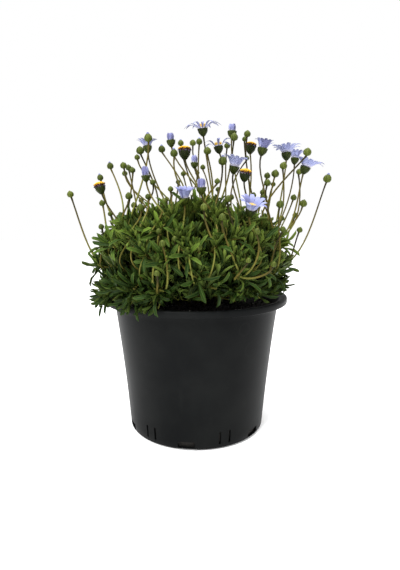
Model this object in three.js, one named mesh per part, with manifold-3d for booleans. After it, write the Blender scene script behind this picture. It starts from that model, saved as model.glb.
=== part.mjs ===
// A potted blue marguerite: a black nursery pot, its soil, a bush of leafy stems that carry
// flower stalks with round buds, and blue blooms round yellow discs.
// Millimetres, +Z up. The origin is the middle of the pot's foot, on the surface it stands on,
// and -Y is the front.
import * as THREE from "three";
import { mergeVertices } from "three/addons/utils/BufferGeometryUtils.js";
import Module from "manifold-3d";

const wasm = await Module();
wasm.setup();

const { Vector3 } = THREE;
const UP = new Vector3(0, 0, 1);
const GOLDEN_ANGLE = Math.PI * (3 - Math.sqrt(5));
const DEGREE = Math.PI / 180;

// Driving dimensions, in millimetres.
const SEAT_GAP = 0.3; // between pieces that rest on each other
const POT = {
  height: 130,
  rimRadius: 88,
  rimHeight: 5.8,
  footRadius: 66.2,
  taper: 0.075, // growth of the wall's radius with height
  flare: 0.00026, // and with the height squared
  wall: 1.8,
  floor: 2.4,
  sides: 36,
};
const DRAIN = {
  count: 6,
  firstAngle: -98 * DEGREE, // the window left of the front
  windowWidth: 15,
  windowLow: 2.6,
  windowHigh: 8.6,
  archWidth: 19,
  archRise: 1.3,
  slitWidth: 2,
  slitLow: 5,
  slitHigh: 17,
  slitSpread: 4 * DEGREE,
};
const SOIL = { top: 119, mound: 3.5, grain: 1.1, sides: 20, rings: 3, holeDepth: 12, holeSides: 5 };
const BUSH = {
  stems: 24,
  seed: 2417,
  crownRadius: 32, // of the ring in which the stems leave the soil
  centre: new Vector3(-2, 0, 163),
  reach: 88, // of the stem tips from the centre, sideways
  rise: 50, // and upwards
  leftLean: 0.03,
  leftDroop: 20,
  lowest: 1.34, // share of the half ball that the tips cover
  twigSpan: 20, // from a stem's tip to its side twigs' tips
};
const STEM = { root: 1.9, tip: 1.1, fork: 0.56, joints: 3 };
const TWIG = { root: 1.0, tip: 0.95, joints: 2 };
const JOINT = { length: 1.3, pitch: 3.4, twist: 0.15 }; // where two leaves face each other
const STALK = { radius: 0.8 };
const LEAF = { length: 26, halfWidth: 2.5, thickness: 1.1, fold: 0.4, rise: 0.3 };
const PETAL = { count: 12, halfWidth: 1.75, openingShare: 0.34, thickness: 0.7 };
const HUB = { radius: 3.3, openingShare: 0.72, thickness: 1 };
const DISC = { share: 0.92, rise: 2.2, spentShare: 0.96, spentRise: 2.6, sides: 8 };
const CLEARANCE = { stem: 1, stalk: 0.9, leaf: 0.55, pot: 0.8 };
// How a leaf is turned round its stem, and lifted away from it, until it is clear.
const LEAF_TURNS = [[0, 0], [0.3, 0], [-0.3, 0], [0, 0.3], [0, -0.2], [0.45, 0.3], [-0.45, 0.3], [0, 0.6]];
const TWIG_TURNS = [0, 0.4, -0.4, 0.8, -0.8, 1.2, -1.2, 1.6, -1.6, 2, -2];
const STEM_SWINGS = [0, 5, -5, 9, -9, 13, -13, 17, -17]; // of the shoulder sideways
const STALK_BOWS = [0.03, 0.09, 0.09, 0.09, 0.16, 0.16, 0.16, 0.16, 0.24, 0.24, 0.24, 0.24, 0.24];
const STEP = 2.2; // between the points at which a new piece is tested
const ROOT_ZONE = 3.4; // of a branch, where it may touch what it grows from
const LEAST_FORK = Math.cos(31 * DEGREE); // between two branches at one joint
const HOST_GAP = 0.3; // and the gap that it keeps beyond it

// The flower heads, as they stand round the plant: kind, across, depth and height of the
// head's middle, and its radius. A bloom adds its petals' length, how far they spread from the
// head's axis in degrees, and how far the head leans across and in depth.
const HEADS = [
  ["bud", -119, -5, 226, 3.2],
  ["tipped", -94, 12, 243, 3.1],
  ["spent", -89, -12, 231, 4.7],
  ["tipped", -87, 28, 256, 3.4],
  ["bud", -85, -25, 217, 2.8],
  ["bud", -84, 6, 208, 2.6],
  ["bud", -81, 46, 208, 2.8],
  ["bud", -73, 24, 256, 3.4],
  ["bud", -72, 50, 257, 3.2],
  ["bud", -61, 2, 249, 2.9],
  ["bud", -79, 68, 253, 3.1],
  ["bud", -54, 8, 268, 3.9],
  ["bud", -61, 38, 266, 2.9],
  ["tipped", -44, -12, 276, 3.8],
  ["opening", -50, 36, 275, 4.4, 9, 42, 0, 0],
  ["tipped", -36, 44, 275, 3.7],
  ["opening", -25, 20, 278, 4.2, 7, 8, -0.05, 0],
  ["tipped", -17, 66, 285, 3.3],
  ["spent", -11, -5, 264, 5.4],
  ["tipped", -20, -22, 261, 3.5],
  ["bud", -4, 82, 288, 3.6],
  ["tipped", 3, 46, 283, 3.4],
  ["opening", -2, 30, 258, 3.7, 7, 14, 0, 0],
  ["bud", 7, 62, 259, 2.9],
  ["bud", 1, 78, 255, 2.6],
  ["opening", -44, -36, 239, 3.7, 7, 10, 0.05, 0],
  ["bud", -41, -6, 237, 2.8],
  ["bud", -14, 52, 251, 2.8],
  ["bud", -19, 35, 241, 2.4],
  ["bud", -22, -46, 228, 2.4],
  ["opening", -10, -51, 219, 4.3, 10, 30, 0.05, -0.1],
  ["opening", 4, -60, 227, 4.0, 6.5, 8, 0, 0],
  ["bud", -60, -30, 223, 3.3],
  ["bud", -42, -40, 222, 2.5],
  ["bud", -60, 0, 216, 2.9],
  ["bud", -46, -60, 212, 3.2],
  ["bud", -28, -50, 217, 3.0],
  ["bud", 6, -75, 212, 3.0],
  ["bud", -85, -32, 196, 2.6],
  ["open", 6, 0, 285, 4.6, 13.5, 82, -0.16, -0.06],
  ["bud", 10, -16, 264, 3.5],
  ["opening", 36, 32, 289, 4.5, 7, 6, -0.05, 0],
  ["bud", 35, -6, 278, 3.7],
  ["bud", 49, 10, 284, 3.3],
  ["bud", 50, 42, 285, 2.7],
  ["open", 22, 20, 272, 4.4, 11, 66, -0.25, 0.1],
  ["bud", 33, 58, 281, 3.3],
  ["tipped", 23, -32, 253, 3.9],
  ["open", 34, -22, 248, 4.4, 12, 40, 0.08, -0.05],
  ["spent", 54, 24, 273, 5.0],
  ["opening", 62, -2, 267, 4.6, 9.5, 32, 0.1, 0],
  ["bud", 56, 72, 270, 2.7],
  ["spent", 42, -38, 240, 4.6],
  ["open", 88, 14, 265, 4.6, 12, 58, -0.22, 0.1],
  ["opening", 104, 48, 265, 4.2, 9, 34, -0.1, 0],
  ["open", 96, -30, 247, 4.4, 12, 62, 0.14, -0.05],
  ["bud", 91, -56, 257, 3.4],
  ["bud", 78, -24, 250, 3.4],
  ["bud", 99, 5, 248, 3.0],
  ["bud", 74, -6, 245, 3.7],
  ["bud", 71, 22, 246, 3.2],
  ["bud", 62, -36, 234, 3.1],
  ["bud", 80, 38, 239, 2.6],
  ["tipped", 125, 0, 241, 4.0],
  ["bud", 96, 12, 224, 3.1],
  ["bud", 98, -20, 217, 3.5],
  ["bud", 71, -50, 215, 3.4],
  ["bud", 101, 25, 207, 2.7],
  ["bud", 94, -26, 193, 2.7],
  ["open", 44, -66, 209, 4.3, 11.5, 44, 0.05, -0.3],
  ["bud", 51, -28, 224, 2.6],
  ["bud", 65, 10, 229, 2.8],
  ["bud", 63, -14, 223, 3.0],
  ["bud", 18, -40, 235, 2.5],
  ["bud", 26, -58, 219, 3.0],
  ["bud", 20, -82, 204, 3.0],
  ["bud", 47, -84, 193, 2.6],
  ["bud", 72, -60, 194, 2.6],
  ["bud", -30, -76, 193, 2.4],
  ["bud", -26, -90, 184, 2.8],
  ["bud", -19, -66, 193, 2.5],
  ["bud", -17, -82, 187, 2.6],
  ["bud", 2, -89, 181, 2.6],
  ["bud", -30, -98, 162, 2.4],
  ["bud", 61, -82, 167, 2.4],
  ["bud", 40, -90, 171, 2.2],
  ["bud", -62, 72, 224, 3.0],
  ["bud", -34, 84, 226, 2.8],
  ["bud", 12, 92, 222, 3.1],
  ["tipped", 40, 82, 228, 3.3],
  ["bud", 72, 66, 222, 2.8],
  ["bud", -82, 62, 196, 2.6],
  ["bud", -10, 96, 200, 2.7],
  ["bud", 52, 92, 198, 2.6],
  ["bud", 92, 48, 204, 2.9],
  ["bud", 24, 70, 236, 2.8],
];

// Every draw comes from this one seeded sequence.
class Dice {
  constructor(seed) {
    this.state = seed;
  }

  between(low, high) {
    this.state = (this.state * 1664525 + 1013904223) % 4294967296;
    return low + ((high - low) * this.state) / 4294967296;
  }
}

// base + direction * distance + ...
function offset(base, ...steps) {
  const out = base.clone();
  for (const [direction, distance] of steps) out.addScaledVector(direction, distance);
  return out;
}

// a * s + b * t + ..., made one long.
function blend(...steps) {
  return offset(new Vector3(), ...steps).normalize();
}

// The point at t on the curve of these control points, and the heading there.
function along(controls, t) {
  let row = controls;
  while (row.length > 2) row = row.slice(1).map((p, i) => row[i].clone().lerp(p, t));
  return { point: row[0].clone().lerp(row[1], t), heading: blend([row[1], 1], [row[0], -1]) };
}

// A direction, laid square to the heading.
function square(direction, heading) {
  return blend([direction, 1], [heading, -direction.dot(heading)]);
}

// The direction square to the heading at this angle round it, from the first direction.
function around(heading, first, angle) {
  return blend([first, Math.cos(angle)], [new Vector3().crossVectors(heading, first), Math.sin(angle)]);
}

// What a piece takes up: balls on a line of points, and rods between them.
function ballsOn(points, radii) {
  const balls = [];
  for (let i = 1; i < points.length; i += 1) {
    const count = Math.ceil(points[i].distanceTo(points[i - 1]) / STEP);
    for (let k = 1; k <= count; k += 1) {
      const t = k / count;
      const point = points[i - 1].clone().lerp(points[i], t);
      const atRoot = point.distanceTo(points[0]) < ROOT_ZONE;
      balls.push({ point, radius: radii[i - 1] + (radii[i] - radii[i - 1]) * t, atRoot });
    }
  }
  return balls;
}

// Where things are, as rods, each with its holder's name.
class Room {
  constructor() {
    this.rods = [];
  }

  add(holder, points, radii) {
    for (let i = 1; i < points.length; i += 1) {
      const run = difference(points[i], points[i - 1]);
      const radius = Math.max(radii[i], radii[i - 1]);
      const length = run.length();
      const square = Math.max(length * length, 1e-9);
      this.rods.push({ holder, from: points[i - 1], run, length, square, radius });
    }
  }

  // A branch's first stretch belongs to its host, the shoot that it leaves.
  addBranch(host, points, radii) {
    const [root, next, ...rest] = points;
    const share = Math.min(0.9, ROOT_ZONE / root.distanceTo(next));
    const edge = root.clone().lerp(next, share);
    this.add(host, [root, edge], [radii[0], radii[0] + (radii[1] - radii[0]) * share]);
    this.add("branch", [edge, next, ...rest], radii);
  }

  // Whether the balls keep the gap. A branch may touch its host near its root.
  isClear(balls, gap, host = null, guest = null) {
    const middle = balls[Math.floor(balls.length / 2)].point;
    const reach = Math.max(...balls.map(({ point }) => point.distanceTo(middle)));
    const near = this.rods.filter(({ holder, from, length, radius }) => {
      const far = reach + radius + gap + 4 + length;
      return holder !== guest && middle.distanceToSquared(from) < far * far;
    });
    return balls.every((ball) => {
      if (!clearOfPot(ball)) return false;
      return near.every((rod) => {
        if (rod.holder === host) return ball.atRoot || isApart(ball, rod, HOST_GAP);
        return isApart(ball, rod, ball.atRoot ? HOST_GAP : gap);
      });
    });
  }
}

function difference(to, from) {
  return to.clone().sub(from);
}

function isApart({ point, radius }, rod, gap) {
  const away = difference(point, rod.from);
  const t = Math.min(1, Math.max(0, away.dot(rod.run) / rod.square));
  return away.addScaledVector(rod.run, -t).lengthSq() >= (radius + rod.radius + gap) ** 2;
}

// Above the rim, outside it, or inside the pot and above the soil.
function clearOfPot({ point, radius }) {
  const out = Math.hypot(point.x, point.y);
  const margin = radius + CLEARANCE.pot;
  if (point.z > POT.height + margin || out > POT.rimRadius + margin) return true;
  const overSoil = point.z > SOIL.top + SOIL.mound + margin;
  return out < innerRadius(POT.height - POT.rimHeight) - margin && overSoil;
}

function outerRadius(z) {
  return POT.footRadius + POT.taper * z + POT.flare * z * z;
}

function innerRadius(z) {
  return outerRadius(z) - POT.wall;
}

// Shoots: a shoot is a row of stations, each a ring of four corners round a point.

function shootAlong(controls, times, first, radii) {
  let side = first;
  return times.map((t) => {
    const { point, heading } = along(controls, t);
    side = around(heading, square(side, heading), JOINT.twist);
    return { point, heading, side, radius: radii.root + (radii.tip - radii.root) * t };
  });
}

// Times of the joints' lower and upper rings, the last ring at the tip.
function jointTimes(joints, length) {
  const times = [];
  for (let n = joints - 1; n >= 0; n -= 1) {
    times.push(1 - (n * JOINT.pitch + JOINT.length) / length, 1 - (n * JOINT.pitch) / length);
  }
  return times;
}

function corner({ point, heading, side, radius }, k) {
  return offset(point, [around(heading, side, (k * Math.PI) / 2), radius]);
}

// The place of face j in the wall below station k: its middle, its way out and along.
function facePlace(stations, k, j) {
  const low = stations[k - 1];
  const high = stations[k];
  const corners = [corner(low, j), corner(low, j + 1), corner(high, j + 1), corner(high, j)];
  const point = corners.reduce((sum, c) => sum.addScaledVector(c, 0.25), new Vector3());
  const out = around(high.heading, high.side, ((j + 0.5) * Math.PI) / 2);
  const first = blend([corners[0], 1], [point, -1]);
  return { wall: k, face: j % 4, point, out, heading: high.heading, first };
}

function tipPlace(shoot) {
  const { point, heading, side } = shoot.stations[shoot.stations.length - 1];
  return { point, out: heading, heading, first: side };
}

// Whether a branch may leave a place this way: well out of its face, and away from its neighbours.
function isOpen(shoot, place, next, least) {
  const way = blend([next, 1], [place.point, -1]);
  if (way.dot(place.out) < least) return false;
  return shoot.rays.every((ray) => {
    const apart = difference(ray.point, place.point);
    if (apart.length() > 5) return true;
    return ray.way.dot(way) < LEAST_FORK && apart.dot(difference(ray.way, way)) > 0;
  });
}

function takePlace(shoot, place, next) {
  shoot.rays.push({ point: place.point, way: blend([next, 1], [place.point, -1]) });
}

// The plan of the plant.

// Main stems rise from the crown and fan out to the surface of a flattened ball. One that would
// touch another swings aside.
function planStems(dice, room) {
  return Array.from({ length: BUSH.stems }, (_, index) => {
    const share = (index + 0.5) / BUSH.stems;
    const turn = index * GOLDEN_ANGLE + dice.between(-0.12, 0.12);
    const rise = 1 - share * BUSH.lowest;
    const level = Math.sqrt(1 - rise * rise);
    const ray = new Vector3(Math.cos(turn), Math.sin(turn), 0);
    const reach = BUSH.reach * level * (1 - BUSH.leftLean * ray.x);
    const droop = BUSH.leftDroop * Math.max(0, -ray.x) * share ** 3;
    const lift = BUSH.rise * rise - droop + dice.between(-4, 4);
    const tip = offset(BUSH.centre, [ray, reach], [UP, lift]);
    const crown = offset(new Vector3(0, 0, SOIL.top + 4), [ray, BUSH.crownRadius * Math.sqrt(share)]);
    const fork = STEM.fork + dice.between(-0.08, 0.08);
    let stations = null;
    for (const swing of STEM_SWINGS) {
      stations = stemStations(crown, tip, ray, fork, swing);
      const free = stations.slice(1);
      const balls = ballsOn(free.map(({ point }) => point), free.map(({ radius }) => radius));
      if (room.isClear(balls, CLEARANCE.stem, "crown")) break;
    }
    const name = `stem ${index}`;
    room.add(name, stations.map(({ point }) => point), stations.map(({ radius }) => radius));
    return { index, name, stations, joints: STEM.joints, ray, branches: [], rays: [], forkWall: 4 };
  });
}

function stemStations(crown, tip, ray, fork, swing) {
  const shoulder = crown.clone().lerp(tip, 0.42).setZ(crown.z + 0.8 * (tip.z - crown.z) + 9);
  shoulder.addScaledVector(new Vector3().crossVectors(UP, ray), swing);
  const length = crown.distanceTo(tip) * 1.1;
  const times = [0, 0.28, fork, fork + 2 / length, ...jointTimes(STEM.joints, length)];
  const stations = shootAlong([crown, offset(crown, [UP, 14]), shoulder, tip], times, ray, STEM);
  const foot = { ...stations[0], point: offset(crown, [UP, -4 - SOIL.holeDepth]), heading: UP };
  return [foot, ...stations];
}

// Two side twigs to a stem, from opposite sides of it.
function planTwigs(dice, room, stems) {
  return stems.flatMap((stem) => {
    const tip = tipPlace(stem).point;
    const outward = tip.clone().sub(BUSH.centre);
    outward.z *= (BUSH.reach / BUSH.rise) ** 2;
    outward.normalize();
    const level = new Vector3().crossVectors(UP, stem.ray);
    const steep = new Vector3().crossVectors(outward, level);
    const tilt = dice.between(-0.6, 0.6);
    const faces = [0, 1].map((j) => facePlace(stem.stations, stem.forkWall, j));
    const firstFace = Math.abs(faces[0].out.dot(level)) > Math.abs(faces[1].out.dot(level)) ? 0 : 1;
    return [firstFace, firstFace + 2].flatMap((j) => {
      const place = facePlace(stem.stations, stem.forkWall, j);
      const sign = Math.sign(place.out.dot(level));
      const span = BUSH.twigSpan * dice.between(0.85, 1.15);
      for (const turn of TWIG_TURNS) {
        const aside = blend([level, sign * Math.cos(tilt + turn)], [steep, Math.sin(tilt + turn)]);
        const end = offset(tip, [aside, span], [outward, -3 - 4 * Math.abs(turn)]);
        const twig = twigTo(place, end, outward, `twig ${stem.index} ${j}`);
        const points = [place.point, ...twig.stations.map(({ point }) => point)];
        const radii = points.map(() => TWIG.root);
        if (!room.isClear(ballsOn(points, radii), CLEARANCE.stem, stem.name)) continue;
        stem.branches.push({ place, shoot: twig });
        room.add(stem.name, points.slice(0, 2), radii);
        room.add(twig.name, points.slice(1), radii);
        return [twig];
      }
      return [];
    });
  });
}

function twigTo(place, end, outward, name) {
  const start = place.point;
  const leave = offset(start, [place.out, 6], [place.heading, 7]);
  const controls = [start, leave, offset(end, [outward, -10]), end];
  const times = [0.45, ...jointTimes(TWIG.joints, start.distanceTo(end) * 1.1)];
  const stations = shootAlong(controls, times, place.first, TWIG);
  return { name, stations, joints: TWIG.joints, branches: [], rays: [] };
}

// A bloom's axis and, for those with petals, their midlines.
function planHeads(room) {
  return HEADS.map(([kind, x, y, z, radius, petal = 0, spread = 0, leanX = 0, leanY = 0], index) => {
    const at = new Vector3(x, y, z);
    const out = blend([at, 1], [BUSH.centre, -1]);
    const axis = blend([UP, 1.4], [out, 0.5], [new Vector3(leanX, leanY, 0), 1.6]);
    const head = { kind, index, at, axis, radius, petal, spread: spread * DEGREE, holder: `head ${index}` };
    head.side = square(new Vector3(1, 0.3, 0), axis);
    room.add(head.holder, [offset(at, [axis, -0.3]), offset(at, [axis, 0.5])], [radius, radius]);
    for (const { path } of petalsOf(head)) room.add(head.holder, path, [0.5, PETAL.halfWidth, 1]);
    return head;
  });
}

function hubRadius(head) {
  return head.kind === "open" ? HUB.radius : head.radius * HUB.openingShare;
}

function petalCount(head) {
  return head.kind === "open" ? PETAL.count : PETAL.count / 2;
}

function hubRing(head, height) {
  const point = offset(head.at, [head.axis, head.radius * 0.4 + SEAT_GAP + height]);
  return { point, heading: head.axis, side: head.side, radius: hubRadius(head) };
}

// A petal leaves the hub at part of its spread and bends outwards to more than it.
function petalsOf(head) {
  if (!head.petal) return [];
  const count = petalCount(head);
  const hub = hubRing(head, HUB.thickness / 2);
  return Array.from({ length: count }, (_, i) => {
    const out = around(head.axis, head.side, ((i + 0.5) / count) * 2 * Math.PI);
    const inner = blend([head.axis, Math.cos(head.spread * 0.75)], [out, Math.sin(head.spread * 0.75)]);
    const outer = blend([head.axis, Math.cos(head.spread * 1.2)], [out, Math.sin(head.spread * 1.2)]);
    const root = offset(hub.point, [out, hub.radius * Math.cos(Math.PI / count) + 0.4]);
    const bend = offset(root, [inner, head.petal * 0.6]);
    const tip = offset(bend, [outer, head.petal * 0.4]);
    return { path: [root, bend, tip], across: around(head.axis, out, Math.PI / 2) };
  });
}

// Each head hangs on the nearest shoot from which a stalk can reach it past everything else.
function planStalks(dice, room, shoots, heads) {
  for (const shoot of shoots) shoot.free = stalkPlaces(shoot);
  for (const head of heads) {
    const below = offset(head.at, [UP, -42]).lerp(BUSH.centre, 0.12);
    const wave = dice.between(0, 2 * Math.PI);
    const near = shoots
      .filter(({ free }) => free.length > 1)
      .map((shoot) => ({ shoot, far: tipPlace(shoot).point.distanceTo(below) + 9 * shoot.branches.length }))
      .sort((a, b) => a.far - b.far)
      .slice(0, 16);
    const found = near.some(({ shoot }) => hangHead(room, shoot, head, wave));
    if (!found) throw new Error(`no way to head ${head.index}`);
  }
}

// The tip, and the joint faces that bear no leaf.
function stalkPlaces(shoot) {
  const places = [tipPlace(shoot)];
  const last = shoot.stations.length - 1;
  for (let n = 0; n < shoot.joints; n += 1) {
    for (const j of [1, 3]) places.push(facePlace(shoot.stations, last - 2 * n, (n + j) % 4));
  }
  return places;
}

function hangHead(room, shoot, head, wave) {
  const neck = offset(head.at, [head.axis, -head.radius * 0.85]);
  const way = blend([neck, 1], [tipPlace(shoot).point, -1]);
  const places = [...shoot.free].sort((a, b) => b.out.dot(way) - a.out.dot(way)).slice(0, 3);
  for (const place of places) {
    const stalk = findStalk(room, shoot, head, place, neck, wave);
    if (!stalk) continue;
    shoot.free = shoot.free.filter((one) => one !== place);
    shoot.branches.push({ place, stalk, head });
    takePlace(shoot, place, stalk[1]);
    room.addBranch(shoot.name, stalk, stalk.map(() => STALK.radius));
    return true;
  }
  return false;
}

function findStalk(room, shoot, head, place, neck, wave) {
  const length = place.point.distanceTo(neck);
  const way = blend([neck, 1], [place.point, -1]);
  const leave = blend([place.out, 1], [place.heading, 0.8]);
  const side = square(Math.abs(way.z) < 0.95 ? UP : new Vector3(1, 0, 0), way);
  for (const bow of STALK_BOWS) {
    wave += GOLDEN_ANGLE;
    const sway = [around(way, side, wave), bow * length];
    const controls = [
      place.point,
      offset(place.point, [leave, length * 0.3], sway),
      offset(neck, [head.axis, -length * 0.3], sway),
      neck,
    ];
    const path = [place.point, along(controls, 0.45).point, neck];
    const balls = ballsOn(path, path.map(() => STALK.radius));
    if (!isOpen(shoot, place, path[1], 0.42)) continue;
    if (room.isClear(balls, CLEARANCE.stalk, shoot.name, head.holder)) return path;
  }
  return null;
}

// Leaves stand in pairs at the joints, with one more at each tip where no stalk stands. One that
// would touch anything is turned, or left out.
function planLeaves(dice, room, shoots) {
  const growLeafAt = (shoot, n, j) => {
    const place = facePlace(shoot.stations, shoot.stations.length - 1 - 2 * n, (n + j) % 4);
    const length = LEAF.length * (0.78 + 0.12 * n) * dice.between(0.88, 1.1);
    const lift = (30 + 17 * n + dice.between(-6, 6)) * DEGREE;
    const leaf = findLeaf(room, shoot, place, lift, length);
    if (!leaf) return;
    shoot.branches.push({ place, leaf });
    takePlace(shoot, place, leaf.points[1]);
    for (const { points, radii } of leafRows(leaf)) room.addBranch(shoot.name, points, radii);
  };
  for (const shoot of shoots) {
    for (let n = 0; n < shoot.joints; n += 1) [0, 2].forEach((j) => growLeafAt(shoot, n, j));
  }
  for (const shoot of shoots) {
    const top = shoot.stations.length - 1;
    const taken = shoot.branches.filter(({ place }) => place.wall === top).map(({ place }) => place.face);
    const open = [1, 3].filter((j) => !taken.includes(j));
    if (open.length) growLeafAt(shoot, 0, open[0]);
  }
}

function findLeaf(room, shoot, place, lift, length) {
  for (const size of [1, 0.8]) {
    for (const [twist, more] of LEAF_TURNS) {
      const leaf = leafAt(place, lift + more, twist, length * size);
      const balls = leafRows(leaf).flatMap(({ points, radii }) => ballsOn(points, radii));
      if (!isOpen(shoot, place, leaf.points[1], 0.35)) continue;
      if (room.isClear(balls, CLEARANCE.leaf, shoot.name)) return leaf;
    }
  }
  return null;
}

// A leaf's midline, from its root to its tip, with its half width at each point of it. It leans
// away from its stem and a little up to the light.
function leafAt(place, lift, twist, length) {
  const out = around(place.heading, square(place.out, place.heading), twist);
  const across = new Vector3().crossVectors(place.heading, out);
  const points = [place.point];
  const angles = [lift, lift + 0.3, lift + 0.62];
  const shares = [0.42, 0.36, 0.22];
  angles.forEach((angle, i) => {
    const way = blend([place.heading, Math.cos(angle)], [out, Math.sin(angle)], [UP, LEAF.rise]);
    points.push(offset(points[i], [way, length * shares[i]]));
  });
  const half = LEAF.halfWidth * (0.6 + (0.4 * length) / LEAF.length);
  return { points, across, halves: [0.3 * half, 0.68 * half, half, 0] };
}

// Three rows that cover the blade: its midrib and, on each side, halfway to the edge and beyond.
function leafRows({ points, across, halves }) {
  return [-1, 0, 1].map((row) => {
    const rowPoints = points.map((point, i) => {
      const up = new Vector3().crossVectors(headingAt(points, i), across);
      const aside = 0.64 * halves[i];
      return offset(point, [across, row * aside], [up, Math.abs(row) * aside * LEAF.fold]);
    });
    return { points: rowPoints, radii: halves.map((half) => Math.max(0.55, 0.36 * half)) };
  });
}

// The heading at a point of a line of points.
function headingAt(points, i) {
  const before = points[Math.max(0, i - 1)];
  const after = points[Math.min(points.length - 1, i + 1)];
  return blend([after, 1], [before, -1]);
}

// A closed skin that grows. Any of its faces can be drawn out into a branch.
class Skin {
  constructor(points) {
    this.points = [...points];
    const ids = points.map((_, k) => k);
    this.faces = new Set();
    this.bottom = this.face([...ids].reverse());
    this.end = this.face(ids);
  }

  face(ids, turned = false) {
    const face = { ids, turned };
    this.faces.add(face);
    return face;
  }

  // Draws a face out to a new ring of points. A ring with as many points keeps faces to draw on.
  draw(face, ring) {
    this.faces.delete(face);
    const from = face.ids;
    const to = ring.map((point) => this.points.push(point) - 1);
    const walls = [];
    if (from.length === to.length) {
      from.forEach((id, i) => {
        const next = (i + 1) % from.length;
        walls.push(this.face([id, from[next], to[next], to[i]], i % 2 === 1));
      });
    } else this.zip(from, to);
    return { walls, end: this.face(to) };
  }

  // Joins two rings of unlike counts, taking the next corner of whichever lags.
  zip(from, to) {
    let i = 0;
    let k = 0;
    while (i < from.length || k < to.length) {
      const onFrom = (i + 0.5) / from.length <= (k + 0.5) / to.length;
      if (onFrom) this.face([from[i], from[(i + 1) % from.length], to[k % to.length]]);
      else this.face([from[i % from.length], to[(k + 1) % to.length], to[k]]);
      if (onFrom) i += 1;
      else k += 1;
    }
  }

  // Closes a face in one point.
  close(face, point) {
    this.faces.delete(face);
    const tip = this.points.push(point) - 1;
    face.ids.forEach((id, i) => this.face([id, face.ids[(i + 1) % face.ids.length], tip]));
  }

  geometry() {
    const triangles = [];
    for (const { ids, turned } of this.faces) {
      const fan = turned ? [...ids.slice(1), ids[0]] : ids;
      for (let i = 2; i < fan.length; i += 1) triangles.push(fan[0], fan[i - 1], fan[i]);
    }
    return new THREE.BufferGeometry().setFromPoints(this.points).setIndex(triangles).toNonIndexed();
  }
}

// A ring of points round a station, the first in the station's side direction.
function ringOf({ point, heading, side, radius }, count) {
  const turns = Array.from({ length: count }, (_, k) => (k / count) * 2 * Math.PI);
  return turns.map((turn) => offset(point, [around(heading, side, turn), radius]));
}

function growShoot(skin, start, shoot, stations) {
  const walls = [];
  let end = start;
  for (const station of stations) {
    const grown = skin.draw(end, ringOf(station, 4));
    walls.push(grown.walls);
    end = grown.end;
  }
  const skipped = shoot.stations.length - stations.length;
  for (const branch of shoot.branches) {
    const { wall, face } = branch.place;
    const from = wall === undefined ? end : walls[wall - skipped][face];
    if (branch.shoot) growShoot(skin, from, branch.shoot, branch.shoot.stations);
    else if (branch.stalk) growStalk(skin, from, branch);
    else growLeaf(skin, from, branch.leaf);
  }
}

function growLeaf(skin, start, { points, across, halves }) {
  let end = start;
  for (const i of [1, 2]) {
    const up = new Vector3().crossVectors(headingAt(points, i), across);
    const edge = [up, halves[i] * LEAF.fold];
    const ring = [
      offset(points[i], [across, -halves[i]], edge),
      offset(points[i], [up, -LEAF.thickness / 2]),
      offset(points[i], [across, halves[i]], edge),
      offset(points[i], [up, LEAF.thickness / 2]),
    ];
    end = skin.draw(end, ring).end;
  }
  skin.close(end, points[3]);
}

// The width of a head at heights along its axis, both as shares of its radius.
const HEAD_SHAPE = {
  bud: { rings: [[-0.45, 0.86], [0.4, 0.84]], tip: 0.95 },
  tipped: { rings: [[-0.45, 0.86], [0.45, 0.76]], tip: 1.35 },
  opening: { rings: [[-0.45, 0.74], [0.4, 0.96]] },
  open: { rings: [[-0.5, 0.64], [0.4, 1]] },
  spent: { rings: [[-0.5, 0.64], [0.4, 1]] },
};

function growStalk(skin, start, { place, stalk, head }) {
  let end = start;
  let side = place.first;
  for (const i of [1, 2]) {
    const heading = i < 2 ? headingAt(stalk, i) : head.axis;
    side = square(side, heading);
    end = skin.draw(end, ringOf({ point: stalk[i], heading, side, radius: STALK.radius }, 3)).end;
  }
  const { rings, tip } = HEAD_SHAPE[head.kind];
  for (const [height, width] of rings) {
    const point = offset(head.at, [head.axis, height * head.radius]);
    end = skin.draw(end, ringOf({ point, heading: head.axis, side, radius: width * head.radius }, 6)).end;
  }
  if (tip) skin.close(end, offset(head.at, [head.axis, tip * head.radius]));
}

function leafyStem(stem) {
  const [foot, ...stations] = stem.stations;
  const skin = new Skin(ringOf(foot, 4));
  growShoot(skin, skin.end, stem, stations);
  return skin.geometry();
}

function petalRing(head) {
  const count = petalCount(head);
  const skin = new Skin(ringOf(hubRing(head, 0), count));
  const { walls } = skin.draw(skin.end, ringOf(hubRing(head, HUB.thickness), count));
  petalsOf(head).forEach((petal, i) => growPetal(skin, walls[i], petal, head));
  return skin.geometry();
}

function growPetal(skin, start, { path, across }, head) {
  const isOpen = head.kind === "open";
  const half = isOpen ? PETAL.halfWidth : head.radius * PETAL.openingShare;
  let end = start;
  for (const [t, width] of isOpen ? [[0.55, 0.8], [1, 1]] : [[1, 1]]) {
    const point = path[0].clone().lerp(path[1], t);
    const up = new Vector3().crossVectors(headingAt(path, t < 1 ? 0 : 1), across);
    const corners = [[-1, -1], [1, -1], [1, 1], [-1, 1]];
    const reach = half * width;
    const ring = corners.map(([x, z]) => offset(point, [across, x * reach], [up, (z * PETAL.thickness) / 2]));
    end = skin.draw(end, ring).end;
  }
  skin.close(end, path[2]);
}

// The yellow disc of florets: on the petals' hub in an open bloom, on the green cup in a spent one.
function discSolid(head) {
  const spent = head.kind === "spent";
  const radius = spent ? head.radius * DISC.spentShare : HUB.radius * DISC.share;
  const base = hubRing(head, spent ? 0 : HUB.thickness + SEAT_GAP);
  const rise = spent ? DISC.spentRise : DISC.rise;
  const ring = (height, width) => {
    const point = offset(base.point, [head.axis, height * rise]);
    return ringOf({ ...base, point, radius: width * radius }, DISC.sides);
  };
  const skin = new Skin(ring(0, 0.9));
  const middle = skin.draw(skin.end, ring(0.35, 1));
  const top = skin.draw(middle.end, ring(0.78, 0.62));
  skin.close(top.end, offset(base.point, [head.axis, 0.9 * rise]));
  return skin.geometry();
}

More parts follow.
